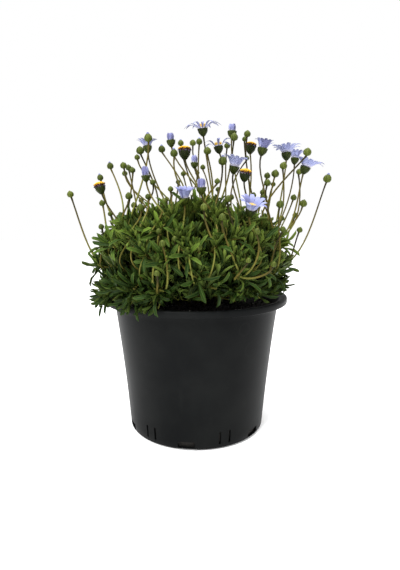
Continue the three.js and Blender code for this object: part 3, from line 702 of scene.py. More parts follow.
class Plan:
    """The plan of the whole plant, which repeats the frame's own rule draw by draw."""

    def __init__(self) -> None:
        """Plan stems, twigs, heads, stalks and leaves in turn."""
        self.dice = Dice(BUSH.seed)
        self.room = Room()
        self.stems = [self.plan_stem(index) for index in range(BUSH.stems)]
        self.shoots = self.stems + [twig for stem in self.stems for twig in self.plan_twigs(stem)]
        self.heads = [self.plan_head(index, *row) for index, row in enumerate(HEADS)]
        for shoot in self.shoots:
            shoot.free = self.stalk_places(shoot)
        for head in self.heads:
            self.plan_stalk(head)
        self.plan_leaves()

    def shoot_along(
        self, controls: list[Array], times: Sequence[float], first: Array, radii: tuple[float, float]
    ) -> list[Station]:
        """Lay a shoot's stations along its curve."""
        side = first
        stations = []
        for t in times:
            point, heading = along(controls, t)
            side = around(heading, square(side, heading), BUSH.joint_twist)
            stations.append(Station(point, heading, side, radii[0] + (radii[1] - radii[0]) * t))
        return stations

    @staticmethod
    def joint_times(joints: int, reach: float) -> list[float]:
        """Return the times of the joints' lower and upper rings."""
        times = []
        for n in range(joints - 1, -1, -1):
            times.append(1 - (n * BUSH.joint_pitch + BUSH.joint_length) / reach)
            times.append(1 - (n * BUSH.joint_pitch) / reach)
        return times

    def plan_stem(self, index: int) -> Shoot:
        """Plan a main stem, which swings aside where it would touch another."""
        share = (index + 0.5) / BUSH.stems
        turn = index * GOLDEN_ANGLE + self.dice.between(-0.12, 0.12)
        rise = 1 - share * BUSH.lowest
        ray = ray_at(turn)
        reach = BUSH.reach * math.sqrt(1 - rise * rise) * (1 - BUSH.left_lean * ray[0])
        droop = BUSH.left_droop * max(0.0, -ray[0]) * share**3
        lift = BUSH.rise * rise - droop + self.dice.between(-4, 4)
        tip = BUSH_CENTRE + ray * reach + UP * lift
        crown = UP * (SOIL.top + BUSH.crown_height) + ray * (BUSH.crown_radius * math.sqrt(share))
        fork = BUSH.stem_fork + self.dice.between(-0.08, 0.08)
        for swing in STEM_SWINGS:
            stem = self.stem_to(index, crown, tip, ray, fork, swing)
            free = stem.stations[1:]
            balls = Balls.on([s.point for s in free], [s.radius for s in free])
            if self.room.is_clear(balls, STEM_GAP, "crown"):
                break
        self.room.add(stem.name, [s.point for s in stem.stations], [s.radius for s in stem.stations])
        return stem

    def stem_to(
        self, index: int, crown: Array, tip: Array, ray: Array, fork: float, swing: float
    ) -> Shoot:
        """Return a stem from its crown to its tip, with its shoulder swung sideways."""
        shoulder = crown + (tip - crown) * BUSH.shoulder_out
        shoulder[2] = crown[2] + BUSH.shoulder_up * (tip[2] - crown[2]) + BUSH.shoulder_lift
        shoulder = shoulder + cross(UP, ray) * swing
        reach = length_of(tip - crown) * SLACK
        times = [0, BUSH.stem_first, fork, fork + 2 / reach, *self.joint_times(BUSH.stem_joints, reach)]
        controls = [crown, crown + UP * BUSH.crown_rise, shoulder, tip]
        radii = (BUSH.stem_root, BUSH.stem_tip)
        stations = self.shoot_along(controls, times, ray, radii)
        deep = BUSH.crown_height + SOIL.hole_depth
        foot = Station(crown - UP * deep, UP, stations[0].side, stations[0].radius)
        return Shoot(f"stem {index}", controls, [foot, *stations], BUSH.stem_joints, radii, ray=ray)

    def plan_twigs(self, stem: Shoot) -> list[Shoot]:
        """Plan two side twigs to a stem, from opposite sides of it."""
        tip = stem.tip_place().point
        outward = tip - BUSH_CENTRE
        outward[2] *= (BUSH.reach / BUSH.rise) ** 2
        outward = unit(outward)
        level = cross(UP, stem.ray)
        steep = cross(outward, level)
        tilt = self.dice.between(-0.6, 0.6)
        sides = [abs(dot(stem.face_place(4, j).out, level)) for j in (0, 1)]
        first_face = 0 if sides[0] > sides[1] else 1
        for j in (first_face, first_face + 2):
            place = stem.face_place(4, j)
            sign = math.copysign(1.0, dot(place.out, level))
            span = BUSH.twig_span * self.dice.between(0.85, 1.15)
            for turn in TWIG_TURNS:
                aside = unit(level * (sign * math.cos(tilt + turn)) + steep * math.sin(tilt + turn))
                end = tip + aside * span + outward * (-3 - 4 * abs(turn))
                twig = self.twig_to(place, end, outward, f"{stem.name} twig {j}")
                points = [place.point] + [s.point for s in twig.stations]
                radii = [BUSH.twig_root] * len(points)
                if self.room.is_clear(Balls.on(points, radii), STEM_GAP, stem.name):
                    stem.twigs.append(twig)
                    self.room.add(stem.name, points[:2], radii)
                    self.room.add(twig.name, points[1:], radii)
                    break
        return stem.twigs

    def twig_to(self, place: Place, end: Array, outward: Array, name: str) -> Shoot:
        """Return a twig from its place on the stem to its end."""
        start = place.point
        controls = [start, start + place.out * 6 + place.heading * 7, end - outward * 10, end]
        reach = length_of(end - start) * SLACK
        radii = (BUSH.twig_root, BUSH.twig_tip)
        times = [BUSH.twig_first, *self.joint_times(BUSH.twig_joints, reach)]
        stations = self.shoot_along(controls, times, place.first, radii)
        return Shoot(name, controls, stations, BUSH.twig_joints, radii)

    def plan_head(
        self,
        index: int,
        kind: str,
        x: float,
        y: float,
        z: float,
        radius: float,
        petal: float = 0.0,
        spread: float = 0.0,
        lean_x: float = 0.0,
        lean_y: float = 0.0,
    ) -> Head:
        """Place a flower head and its petals, and hold their room."""
        at = np.array([x, y, z], float)
        out = unit(at - BUSH_CENTRE)
        lean = np.array([lean_x, lean_y, 0.0]) * BUSH.head_lean
        axis = unit(UP * BUSH.head_up + out * BUSH.head_out + lean)
        side = square(np.array([1.0, 0.3, 0.0]), axis)
        head = Head(Kind(kind), index, at, axis, side, radius, petal, math.radians(spread))
        self.room.add(head.holder, [at - axis * 0.3, at + axis * 0.5], [radius, radius])
        if petal:
            count = BLADE.petal_count if head.kind is Kind.OPEN else BLADE.petal_count // 2
            for path in head.petal_paths(count, head.spread, petal)[0]:
                self.room.add(head.holder, list(path), [0.5, BLADE.petal_half, 1])
        return head

    @staticmethod
    def stalk_places(shoot: Shoot) -> list[Place]:
        """Return the tip, and the joint faces that bear no leaf."""
        places = [shoot.tip_place()]
        last = len(shoot.stations) - 1
        for n in range(shoot.joints):
            places += [shoot.face_place(last - 2 * n, (n + j) % 4) for j in (1, 3)]
        return places

    def plan_stalk(self, head: Head) -> None:
        """Hang a head on the nearest shoot from which a stalk can reach it."""
        below = head.at - UP * BUSH.stalk_drop
        below = below + (BUSH_CENTRE - below) * BUSH.stalk_pull
        wave = self.dice.between(0, TURN)
        near = [shoot for shoot in self.shoots if len(shoot.free) > 1]
        near.sort(
            key=lambda shoot: length_of(shoot.tip_place().point - below)
            + BUSH.stalk_crowding * (len(shoot.twigs) + len(shoot.stalks))
        )
        for shoot in near[: BUSH.stalk_choices]:
            if self.hang_head(shoot, head, wave):
                return
        raise ValueError(f"no way to head {head.index}")

    def hang_head(self, shoot: Shoot, head: Head, wave: float) -> bool:
        """Try to hang a head on a shoot, and tell whether it hangs there."""
        neck = head.at - head.axis * (head.radius * BUSH.neck_share)
        way = unit(neck - shoot.tip_place().point)
        for place in sorted(shoot.free, key=lambda p: -dot(p.out, way))[:3]:
            controls = self.find_stalk(shoot, head, place, neck, wave)
            if controls is None:
                continue
            bend = along(controls, BUSH.stalk_bend)[0]
            shoot.free = [one for one in shoot.free if one is not place]
            shoot.stalks.append(Stalk(controls, head))
            shoot.take(place, bend)
            self.room.add_branch(shoot.name, [place.point, bend, neck], [BUSH.stalk_radius] * 3)
            return True
        return False

    def find_stalk(
        self, shoot: Shoot, head: Head, place: Place, neck: Array, wave: float
    ) -> Optional[list[Array]]:
        """Return the control points of a stalk that is clear of everything, or None."""
        reach = length_of(neck - place.point)
        way = unit(neck - place.point)
        leave = unit(place.out + place.heading * BUSH.stalk_leave)
        side = side_of(way, 0.95)
        for bow in STALK_BOWS:
            wave += GOLDEN_ANGLE
            sway = around(way, side, wave) * (bow * reach)
            controls = [
                place.point,
                place.point + leave * (reach * BUSH.stalk_handle) + sway,
                neck - head.axis * (reach * BUSH.stalk_handle) + sway,
                neck,
            ]
            path = [place.point, along(controls, BUSH.stalk_bend)[0], neck]
            if not shoot.is_open(place, path[1], BUSH.stalk_least):
                continue
            balls = Balls.on(path, [BUSH.stalk_radius] * 3)
            if self.room.is_clear(balls, STALK_GAP, shoot.name, head.holder):
                return controls
        return None

    def plan_leaves(self) -> None:
        """Grow leaves in pairs at the joints, with one more at each tip where no stalk stands."""
        for shoot in self.shoots:
            for n in range(shoot.joints):
                self.grow_leaf(shoot, n, 0)
                self.grow_leaf(shoot, n, 2)
        for shoot in self.shoots:
            top = len(shoot.stations) - 1
            spare = [j for j in (1, 3) if (top, j) not in shoot.taken]
            if spare:
                self.grow_leaf(shoot, 0, spare[0])

    def grow_leaf(self, shoot: Shoot, n: int, j: int) -> None:
        """Grow a leaf at joint n from the tip, on face j, if there is room."""
        place = shoot.face_place(len(shoot.stations) - 1 - 2 * n, (n + j) % 4)
        reach = BLADE.leaf_length * (0.78 + 0.12 * n) * self.dice.between(0.88, 1.1)
        lift = math.radians(BUSH.leaf_start + BUSH.leaf_opening * n + self.dice.between(-6, 6))
        for size in (1, 0.8):
            for twist, more in LEAF_TURNS:
                leaf = leaf_at(place, lift + more, twist, reach * size)
                if not shoot.is_open(place, leaf.points[1], BUSH.leaf_least):
                    continue
                if self.has_room(leaf, shoot.name):
                    shoot.leaves.append(leaf)
                    shoot.take(place, leaf.points[1])
                    for points, radii in leaf.rows():
                        self.room.add_branch(shoot.name, points, radii)
                    return

    def has_room(self, leaf: Leaf, host: str) -> bool:
        """Tell whether a leaf is clear of everything."""
        rows = [Balls.on(points, radii) for points, radii in leaf.rows()]
        balls = Balls(
            np.concatenate([row.points for row in rows]),
            np.concatenate([row.radii for row in rows]),
            np.concatenate([row.at_root for row in rows]),
        )
        return self.room.is_clear(balls, LEAF_GAP, host)


def leaf_at(
    place: Place,
    lift: float,
    twist: float,
    reach: float,
    curl: float = 1.0,
    rise: float = BLADE.leaf_rise,
) -> Leaf:
    """Return a leaf at a place.

    Args:
        place: Where it leaves the shoot.
        lift: How far it leans away from the shoot's heading, in radians.
        twist: How far it is turned round the shoot, in radians.
        reach: Its length.
        curl: How strongly it bends further away towards its tip.
        rise: How strongly it leans up to the light.

    Returns:
        The leaf's midline, its way across and its half width.
    """
    out = around(place.heading, square(place.out, place.heading), twist)
    points = [place.point]
    for angle, share in ((lift, 0.42), (lift + 0.3 * curl, 0.36), (lift + 0.62 * curl, 0.22)):
        way = unit(place.heading * math.cos(angle) + out * math.sin(angle) + UP * rise)
        points.append(points[-1] + way * (reach * share))
    half = BLADE.leaf_half * (0.6 + (0.4 * reach) / BLADE.leaf_length)
    return Leaf(np.array(points), cross(place.heading, out), half)


def bush_point(turn: float, level: float, depth: float) -> Array:
    """Return the point of the bush at a bearing, an angle above its middle and a depth."""
    way = ray_at(turn) * (BUSH.reach * math.cos(level)) + UP * (BUSH.rise * math.sin(level))
    return BUSH_CENTRE + way * depth


def bush_depth(points: Array) -> Array:
    """Return how far out points lie, from 0 at the bush's middle to 1 at its shoots' tips."""
    away = (points - BUSH_CENTRE) / np.array([BUSH.reach, BUSH.reach, BUSH.rise + 2.0])
    return np.sqrt((away**2).sum(-1))


# Shapes that are modelled once and laid along curves.


@dataclass
class Shape:
    """Faces as arrays, to be laid along curves and joined.

    A blade lies along +Y from 0 to 1, is one half width wide to either side and faces +Z. A rod
    stands round the same line with a radius of one.
    """

    points: Array
    loops: Array
    sizes: Array
    uv: Array
    rim: Array
    slot: Array
    tone: Array

    @staticmethod
    def of(piece: Object, rim: Array) -> "Shape":
        """Take the faces of a modelled piece and remove it.

        Args:
            piece: The piece, in object mode.
            rim: Which of its points lie on a sharp edge.

        Returns:
            The piece's faces as arrays.
        """
        mesh = piece.data
        points = np.zeros(len(mesh.vertices) * 3)
        loops = np.zeros(len(mesh.loops), np.int32)
        sizes = np.zeros(len(mesh.polygons), np.int32)
        uv = np.full(len(mesh.loops) * 2, 0.5)
        mesh.vertices.foreach_get("co", points)
        mesh.loops.foreach_get("vertex_index", loops)
        mesh.polygons.foreach_get("loop_total", sizes)
        if mesh.uv_layers:
            mesh.uv_layers[0].data.foreach_get("uv", uv)
        bpy.data.objects.remove(piece)
        points = points.reshape(-1, 3)
        slot = np.zeros(len(sizes), np.int32)
        return Shape(points, loops, sizes, uv.reshape(-1, 2), rim, slot, np.zeros(len(points)))

    def copies(self, points: Array, tone: Array, slot: int) -> "Shape":
        """Return one copy for each row of points, with its own tone and one material slot."""
        n, m = points.shape[:2]
        loops = (self.loops[None, :] + m * np.arange(n)[:, None]).ravel()
        return Shape(
            points.reshape(-1, 3),
            loops,
            np.tile(self.sizes, n),
            np.tile(self.uv, (n, 1)),
            np.tile(self.rim, n),
            np.full(len(self.sizes) * n, slot, np.int32),
            np.broadcast_to(tone, (n, m)).ravel(),
        )

    @staticmethod
    def joined(shapes: Sequence["Shape"]) -> "Shape":
        """Return several shapes as one."""
        starts = np.cumsum([0] + [len(shape.points) for shape in shapes[:-1]])
        return Shape(
            np.concatenate([shape.points for shape in shapes]),
            np.concatenate([shape.loops + start for shape, start in zip(shapes, starts)]),
            np.concatenate([shape.sizes for shape in shapes]),
            np.concatenate([shape.uv for shape in shapes]),
            np.concatenate([shape.rim for shape in shapes]),
            np.concatenate([shape.slot for shape in shapes]),
            np.concatenate([shape.tone for shape in shapes]),
        )

    def lay(
        self,
        controls: ArrayLike,
        across: ArrayLike,
        scale: ArrayLike,
        tone: ArrayLike = 0.5,
        slot: int = 0,
        roll: ArrayLike = 0.0,
    ) -> "Shape":
        """Lay copies of the shape along cubic curves.

        Args:
            controls: The four control points of each curve.
            across: Each copy's way across, which is squared to the curve's heading.
            scale: The half width or radius, for all, for each copy or for each of its points.
            tone: A number from 0 to 1 for each copy or for each of its points.
            slot: The material slot of all copies.
            roll: How far each copy has turned round its heading at its tip, in radians.

        Returns:
            The copies as one shape.
        """
        controls = np.asarray(controls, float)
        n, m = len(controls), len(self.points)
        t = self.points[:, 1]
        inside = np.clip(t, 0.0, 1.0)
        place = np.einsum("mk,nkd->nmd", bernstein(inside), controls)
        slope = np.einsum("mk,nkd->nmd", bernstein_slope(inside), controls)
        place = place + slope * (t - inside)[None, :, None]
        heading = slope / np.linalg.norm(slope, axis=2, keepdims=True)
        right = np.asarray(across, float)[:, None, :] * np.ones((n, m, 1))
        right = right - heading * (right * heading).sum(2, keepdims=True)
        right /= np.linalg.norm(right, axis=2, keepdims=True)
        up = np.cross(right, heading)
        turn = np.broadcast_to(np.asarray(roll, float).reshape(-1, 1), (n, 1)) * t[None, :]
        cos, sin = np.cos(turn)[..., None], np.sin(turn)[..., None]
        right, up = right * cos + up * sin, up * cos - right * sin
        size = np.asarray(scale, float)
        size = np.broadcast_to(size.reshape(n, -1) if size.ndim else size, (n, m))
        x, z = self.points[:, 0] * size, self.points[:, 2] * size
        laid = place + right * x[..., None] + up * z[..., None]
        shade = np.asarray(tone, float)
        return self.copies(laid, shade.reshape(n, -1) if shade.ndim else shade, slot)

    def to_piece(self, name: str, finishes: Sequence[Material]) -> Object:
        """Make a piece of the shape, in metres.

        Args:
            name: The piece's name.
            finishes: Its material slots.

        Returns:
            The new object, at the origin.
        """
        mesh = bpy.data.meshes.new(name)
        mesh.vertices.add(len(self.points))
        mesh.loops.add(len(self.loops))
        mesh.polygons.add(len(self.sizes))
        mesh.vertices.foreach_set("co", (self.points * MM).ravel())
        mesh.loops.foreach_set("vertex_index", self.loops)
        mesh.polygons.foreach_set("loop_start", np.cumsum(np.append([0], self.sizes[:-1])))
        mesh.polygons.foreach_set("material_index", self.slot)
        mesh.update(calc_edges=True)
        mesh.uv_layers.new(name="UVMap").data.foreach_set("uv", self.uv.ravel())
        mesh.attributes.new("tone", "FLOAT", "POINT").data.foreach_set("value", self.tone)
        mesh.polygons.foreach_set("use_smooth", np.ones(len(self.sizes), bool))
        ends = np.zeros(len(mesh.edges) * 2, np.int32)
        mesh.edges.foreach_get("vertices", ends)
        sharp = self.rim[ends].reshape(-1, 2).all(1)
        mesh.attributes.new("sharp_edge", "BOOLEAN", "EDGE").data.foreach_set("value", sharp)
        for finish in finishes:
            mesh.materials.append(finish)
        piece = bpy.data.objects.new(name, mesh)
        bpy.context.scene.collection.objects.link(piece)
        return piece


class Bench:
    """Where masters are modelled by hand tools."""

    aside = 4.0

    @staticmethod
    def clear() -> None:
        """Leave edit mode and deselect everything."""
        if bpy.context.object and bpy.context.object.mode == "EDIT":
            bpy.ops.object.mode_set(mode="OBJECT")
        bpy.ops.object.select_all(action="DESELECT")

    @staticmethod
    def pick(chosen: Callable[[Vector], bool]) -> None:
        """Select the points of the piece in edit mode that pass a test of their place."""
        piece = bpy.context.object
        bpy.ops.mesh.select_mode(type="VERT")
        bpy.ops.mesh.select_all(action="DESELECT")
        bpy.ops.object.mode_set(mode="OBJECT")
        for vertex in piece.data.vertices:
            vertex.select = bool(chosen(vertex.co))
        bpy.ops.object.mode_set(mode="EDIT")

    @classmethod
    def blade(
        cls, rows: Rows, fold: float, thickness: float, teeth: float = 0.0, columns: int = 4
    ) -> Shape:
        """Model a thin blade that is thickest at its midrib and closes at its margin.

        Args:
            rows: The place along the blade and the half width of each row of points.
            fold: How far the margins rise, in half widths.
            thickness: The blade's thickness at its midrib, in half widths.
            teeth: How far the tip's middle and corners draw back, as a share of the length.
            columns: How many faces it has across.

        Returns:
            The blade.
        """
        cls.clear()
        last = len(rows) - 1
        bpy.ops.mesh.primitive_grid_add(x_subdivisions=columns, y_subdivisions=last, size=2)
        bpy.ops.object.mode_set(mode="EDIT")
        for k, (reach, half) in enumerate(rows):
            level = -1 + 2 * k / last
            cls.pick(lambda co: abs(co.y - level) < EDGE)
            bpy.ops.transform.translate(value=(0, cls.aside + reach - level, 0))
            bpy.ops.transform.resize(
                value=(max(half, 1e-5), 1, 1), center_override=(0, cls.aside + reach, 0)
            )
        cls.pick(lambda co: True)
        bpy.ops.transform.translate(value=(0, -cls.aside, 0))
        halves = np.array([half for _, half in rows])
        reaches = np.array([reach for reach, _ in rows])
        piece = bpy.context.object
        mesh = piece.data

        def place_of(co: Vector) -> tuple[float, float]:
            """Return the half width at a point, and how far out across it the point lies."""
            half = float(np.interp(co.y, reaches, halves))
            return half, abs(co.x) / max(half, 1e-4)

        bpy.ops.object.mode_set(mode="OBJECT")
        for vertex in mesh.vertices:
            half, share = place_of(vertex.co)
            vertex.co.z = fold * half * (0.72 * share + 0.28 * share * share)
        bpy.ops.object.mode_set(mode="EDIT")
        bpy.ops.mesh.select_all(action="SELECT")
        bpy.ops.mesh.duplicate()
        bpy.ops.mesh.flip_normals()
        bpy.ops.object.mode_set(mode="OBJECT")
        for vertex in mesh.vertices:
            half, share = place_of(vertex.co)
            if vertex.select and vertex.co.y < 1 - EDGE:
                vertex.co.z -= thickness * min(half, 0.6) * (1 - min(1.0, share) ** 3)
        for polygon in mesh.polygons:
            if polygon.select:
                for loop in polygon.loop_indices:
                    mesh.uv_layers[0].data[loop].uv.x += 1.0
        bpy.ops.object.mode_set(mode="EDIT")
        bpy.ops.mesh.select_all(action="SELECT")
        bpy.ops.mesh.remove_doubles(threshold=1e-4)
        cls.pick(lambda co: co.y < EDGE)
        bpy.ops.mesh.edge_face_add()
        bpy.ops.object.mode_set(mode="OBJECT")
        rim = []
        for vertex in mesh.vertices:
            share = place_of(vertex.co)[1]
            is_tip = vertex.co.y > 1 - EDGE
            rim.append(is_tip or share > 0.97 or vertex.co.y < EDGE)
            if is_tip:
                vertex.co.y -= teeth * (1.0 if share > 0.9 else 0.45 if share < 0.1 else 0.0)
        return Shape.of(piece, np.array(rim))

    @classmethod
    def turned(cls, sides: int, rings: Rows, stands: bool) -> Object:
        """Draw a disc out from ring to ring.

        Args:
            sides: The number of sides.
            rings: The place along the axis and the radius of each ring.
            stands: Whether the axis is +Z, and not +Y.

        Returns:
            The piece, closed at both ends and in object mode.
        """
        cls.clear()
        axis = Vector((0, 0, 1)) if stands else Vector((0, 1, 0))
        start, first_radius = rings[0]
        tilt = (0 if stands else -math.pi / 2, 0, 0)
        bpy.ops.mesh.primitive_circle_add(
            vertices=sides, radius=first_radius, fill_type="NGON", location=axis * start, rotation=tilt
        )
        bpy.ops.object.transform_apply(location=True, rotation=True, scale=True)
        bpy.ops.object.mode_set(mode="EDIT")
        bpy.ops.mesh.select_mode(type="FACE")
        bpy.ops.mesh.select_all(action="SELECT")
        for (before, wide), (after, radius) in zip(rings, rings[1:]):
            bpy.ops.mesh.extrude_region_move(TRANSFORM_OT_translate={"value": axis * (after - before)})
            share = radius / wide
            size = (share, share, 1) if stands else (share, 1, share)
            bpy.ops.transform.resize(value=size, center_override=axis * after)
        bpy.ops.mesh.select_all(action="SELECT")
        bpy.ops.mesh.normals_make_consistent(inside=False)
        bpy.ops.object.mode_set(mode="OBJECT")
        return bpy.context.object

    @classmethod
    def rod(cls, sides: int, rings: Rows, sharp: bool = False) -> Shape:
        """Model a round rod along +Y through rings of a place and a radius, with sharp ends or not."""
        piece = cls.turned(sides, rings, False)
        ends = (rings[0][0], rings[-1][0])
        places = [vertex.co.y for vertex in piece.data.vertices]
        rim = [sharp and min(abs(y - end) for end in ends) < 1e-5 for y in places]
        return Shape.of(piece, np.array(rim))


# Finishes.


class Expression:
    """A socket of a material, with Python's operators for its maths."""

    def __init__(self, sheet: "Sheet", socket: bpy.types.NodeSocket) -> None:
        """Wrap a socket of a sheet of nodes."""
        self.sheet = sheet
        self.socket = socket

    def _math(self, operation: str, *values: Union["Expression", Number]) -> "Expression":
        """Return the result of a Math node on values."""
        inputs = dict(enumerate(values))
        return self.sheet.node("ShaderNodeMath", {"operation": operation}, inputs)

    def __add__(self, other: Union["Expression", Number]) -> "Expression":
        """Return the sum."""
        return self._math("ADD", self, other)

    def __sub__(self, other: Union["Expression", Number]) -> "Expression":
        """Return the difference."""
        return self._math("SUBTRACT", self, other)

    def __rsub__(self, other: Number) -> "Expression":
        """Return a number less this."""
        return self._math("SUBTRACT", other, self)

    def __mul__(self, other: Union["Expression", Number]) -> "Expression":
        """Return the product."""
        return self._math("MULTIPLY", self, other)

    def __gt__(self, other: Union["Expression", Number]) -> "Expression":
        """Return 1 where this is greater, and 0 elsewhere."""
        return self._math("GREATER_THAN", self, other)

    def __abs__(self) -> "Expression":
        """Return the size without its sign."""
        return self._math("ABSOLUTE", self)

    def fraction(self) -> "Expression":
        """Return what is left over a whole number."""
        return self._math("FRACT", self)

    def sine(self) -> "Expression":
        """Return the sine."""
        return self._math("SINE", self)

    def ramp(self, low: float, high: float) -> "Expression":
        """Return a smooth rise from 0 at low to 1 at high."""
        inputs = {"Value": self, "From Min": low, "From Max": high}
        return self.sheet.node("ShaderNodeMapRange", {"interpolation_type": "SMOOTHSTEP"}, inputs)


Colour = Union[tuple[float, float, float], Expression]


class Sheet:
    """The nodes of one material."""

    def __init__(self, name: str) -> None:
        """Start a material with a bare surface shader."""
        self.material = bpy.data.materials.new(name)
        self.material.use_nodes = True
        self.tree = self.material.node_tree
        self.shader = self.tree.nodes["Principled BSDF"]

    def node(
        self, kind: str, settings: dict, inputs: dict, output: Union[int, str] = 0
    ) -> Expression:
        """Add a node.

        Args:
            kind: The node's type.
            settings: What is set on it first; "stops" are a ramp's.
            inputs: The values or links of its sockets, by name or number.
            output: Which of its outputs to return.

        Returns:
            The output as an expression.
        """
        node = self.tree.nodes.new(kind)
        for key, value in settings.items():
            if key == "stops":
                while len(node.color_ramp.elements) < len(value):
                    node.color_ramp.elements.new(0.5)
                for element, (place, colour) in zip(node.color_ramp.elements, value):
                    element.position = place
                    element.color = (*colour, 1.0)
            else:
                setattr(node, key, value)
        for key, value in inputs.items():
            self.feed(node.inputs[key], value)
        return Expression(self, node.outputs[output])

    def feed(self, socket: bpy.types.NodeSocket, value: Union[Colour, Number]) -> None:
        """Link an expression to a socket, or set its plain value."""
        if isinstance(value, Expression):
            self.tree.links.new(value.socket, socket)
        elif isinstance(value, tuple) and socket.type == "RGBA":
            socket.default_value = (*value, 1.0)
        else:
            socket.default_value = value

    def mix(self, factor: Union[Expression, Number], one: Colour, other: Colour) -> Expression:
        """Return a colour between two others."""
        inputs = {0: factor, 6: one, 7: other}
        return self.node("ShaderNodeMix", {"data_type": "RGBA"}, inputs, 2)

    def ramp_of(self, factor: Expression, stops: tuple) -> Expression:
        """Return the colour at a factor between stops, each a place and a colour."""
        return self.node("ShaderNodeValToRGB", {"stops": stops}, {0: factor})

    def place(self) -> Expression:
        """Return the place on the piece."""
        return self.node("ShaderNodeTexCoord", {}, {}, "Object")

    def noise(
        self, scale: float, detail: float = 2.0, rough: float = 0.5, stretch: tuple = (1, 1, 1)
    ) -> Expression:
        """Return cloudy noise whose patches are about 1 / scale metres across."""
        where = self.place()
        if stretch != (1, 1, 1):
            where = self.node("ShaderNodeMapping", {}, {"Vector": where, "Scale": stretch})
        inputs = {"Vector": where, "Scale": scale, "Detail": detail, "Roughness": rough}
        return self.node("ShaderNodeTexNoise", {}, inputs, 0)

    def tone(self) -> Expression:
        """Return the tone of the copy."""
        return self.node("ShaderNodeAttribute", {"attribute_name": "tone"}, {}, "Fac")

    def blade(self) -> tuple[Expression, Expression, Expression]:
        """Return the place across a blade from 0 to 1, along it, and 1 on its underside."""
        uv = self.node("ShaderNodeUVMap", {"uv_map": "UVMap"}, {})
        u = self.node("ShaderNodeSeparateXYZ", {}, {0: uv}, 0)
        v = self.node("ShaderNodeSeparateXYZ", {}, {0: uv}, 1)
        return abs(u.fraction() * 2 - 1), v, u > 1.0

    def bump(self, height: Expression, strength: float, distance: float) -> Expression:
        """Return a normal raised by a height."""
        inputs = {"Strength": strength, "Distance": distance, "Height": height}
        return self.node("ShaderNodeBump", {}, inputs)

    def finish(
        self,
        colour: Colour,
        rough: Union[Expression, Number],
        normal: Optional[Expression] = None,
        gloss: float = 0.5,
    ) -> Material:
        """Feed the surface shader and return the material."""
        inputs = {"Base Color": colour, "Roughness": rough, "Normal": normal, "Specular IOR Level": gloss}
        for key, value in inputs.items():
            if value is not None:
                self.feed(self.shader.inputs[key], value)
        return self.material


@dataclass(frozen=True)
class LeafFinish:
    """Green leaf, with a pale midrib and a paler underside, painted shade deep in the bush, low down and
    at a leaf's base, and painted light towards its tip.
    """

    # shade is the painted shade deep in the bush; deep is the dark green both of darker leaves and of
    # leaves in painted shade.
    shade: tuple = (0.0025, 0.0065, 0.0008)
    deep: tuple = (0.014, 0.038, 0.0035)
    fresh: tuple = (0.104, 0.172, 0.018)
    pale: tuple = (0.190, 0.225, 0.045)
    roughness: float = 0.55

    def build(self) -> Material:
        """Return the material."""
        sheet = Sheet("leaf")
        across, reach, under = sheet.blade()
        patches = sheet.noise(140.0, 3.0)
        stops = ((0.0, self.shade), (0.42, self.deep), (1.0, self.fresh))
        # The tone carries painted shade deep in the bush and low down; the reach term paints shade at a
        # leaf's base and light at its tip.
        light = sheet.tone() * 0.9 * (reach * 0.5 + 0.7) + (patches - 0.5) * 0.3
        colour = sheet.ramp_of(light, stops)
        colour = sheet.mix(under * light * 0.4, colour, self.pale)
        colour = sheet.mix((1 - reach.ramp(0.0, 0.25)) * light * 0.4, colour, self.pale)
        colour = sheet.mix((1 - across.ramp(0.02, 0.2)) * light * 0.6, colour, self.pale)
        colour = sheet.mix(across.ramp(0.8, 1.0) * light * 0.6, colour, self.pale)
        veins = ((reach * 9 + across * 2.6) * TURN).sine()
        rough = patches * 0.16 + (self.roughness - 0.08)
        fine = sheet.noise(1800.0, 2.0)
        normal = sheet.bump(veins * 0.5 + fine + across.ramp(0.0, 0.14) * 1.4, 0.35, 0.0002)
        return sheet.finish(colour, rough, normal, 0.12)


@dataclass(frozen=True)
class StalkFinish:
    """Olive stalk, ochre along its middle and browner where it is old."""

    olive: tuple = (0.145, 0.155, 0.030)
    ochre: tuple = (0.096, 0.078, 0.014)
    brown: tuple = (0.020, 0.017, 0.005)
    roughness: float = 0.6

    def build(self) -> Material:
        """Return the material."""
        sheet = Sheet("stalk")
        patches = sheet.noise(90.0, 2.0)
        tone = sheet.tone() + (patches - 0.5) * 0.3
        colour = sheet.ramp_of(tone, ((0.12, self.olive), (0.5, self.ochre), (0.92, self.brown)))
        streaks = sheet.noise(900.0, 2.0, 0.5, (1.0, 1.0, 0.12))
        colour = sheet.mix((streaks - 0.45) * 0.8, colour, self.brown)
        normal = sheet.bump(streaks, 0.3, 0.0002)
        return sheet.finish(colour, self.roughness, normal, 0.1)


@dataclass(frozen=True)
class BractFinish:
    """Green scales of a head, with pale tips on a bud, dark with brown tips on an old head, and painted
    shade along each scale's margin.
    """

    # old is the dark green of old scales, and also the painted shade along the scales' margins.
    old: tuple = (0.010, 0.016, 0.003)
    green: tuple = (0.050, 0.068, 0.009)
    bright: tuple = (0.096, 0.120, 0.018)
    tip: tuple = (0.300, 0.280, 0.150)
    brown: tuple = (0.040, 0.018, 0.010)
    roughness: float = 0.55

    def build(self) -> Material:
        """Return the material."""
        sheet = Sheet("bract")
        across, reach, _ = sheet.blade()
        tone = sheet.tone()
        speckle = sheet.noise(420.0, 3.0)
        light = tone + (speckle - 0.5) * 0.4
        colour = sheet.ramp_of(light, ((0.1, self.old), (0.55, self.green), (0.95, self.bright)))
        # Painted shade: each scale's margin is darkened, where shade falls between overlapping scales.
        colour = sheet.mix(across.ramp(0.62, 1.0) * 0.55, colour, self.old)
        colour = sheet.mix(reach.ramp(0.84, 1.0) * (tone - 0.4) * 1.6, colour, self.tip)
        colour = sheet.mix(reach.ramp(0.8, 1.0) * (0.45 - tone) * 4, colour, self.brown)
        normal = sheet.bump(speckle + (1 - across.ramp(0.0, 0.5)) * 0.8, 0.4, 0.0002)
        return sheet.finish(colour, self.roughness, normal, 0.12)


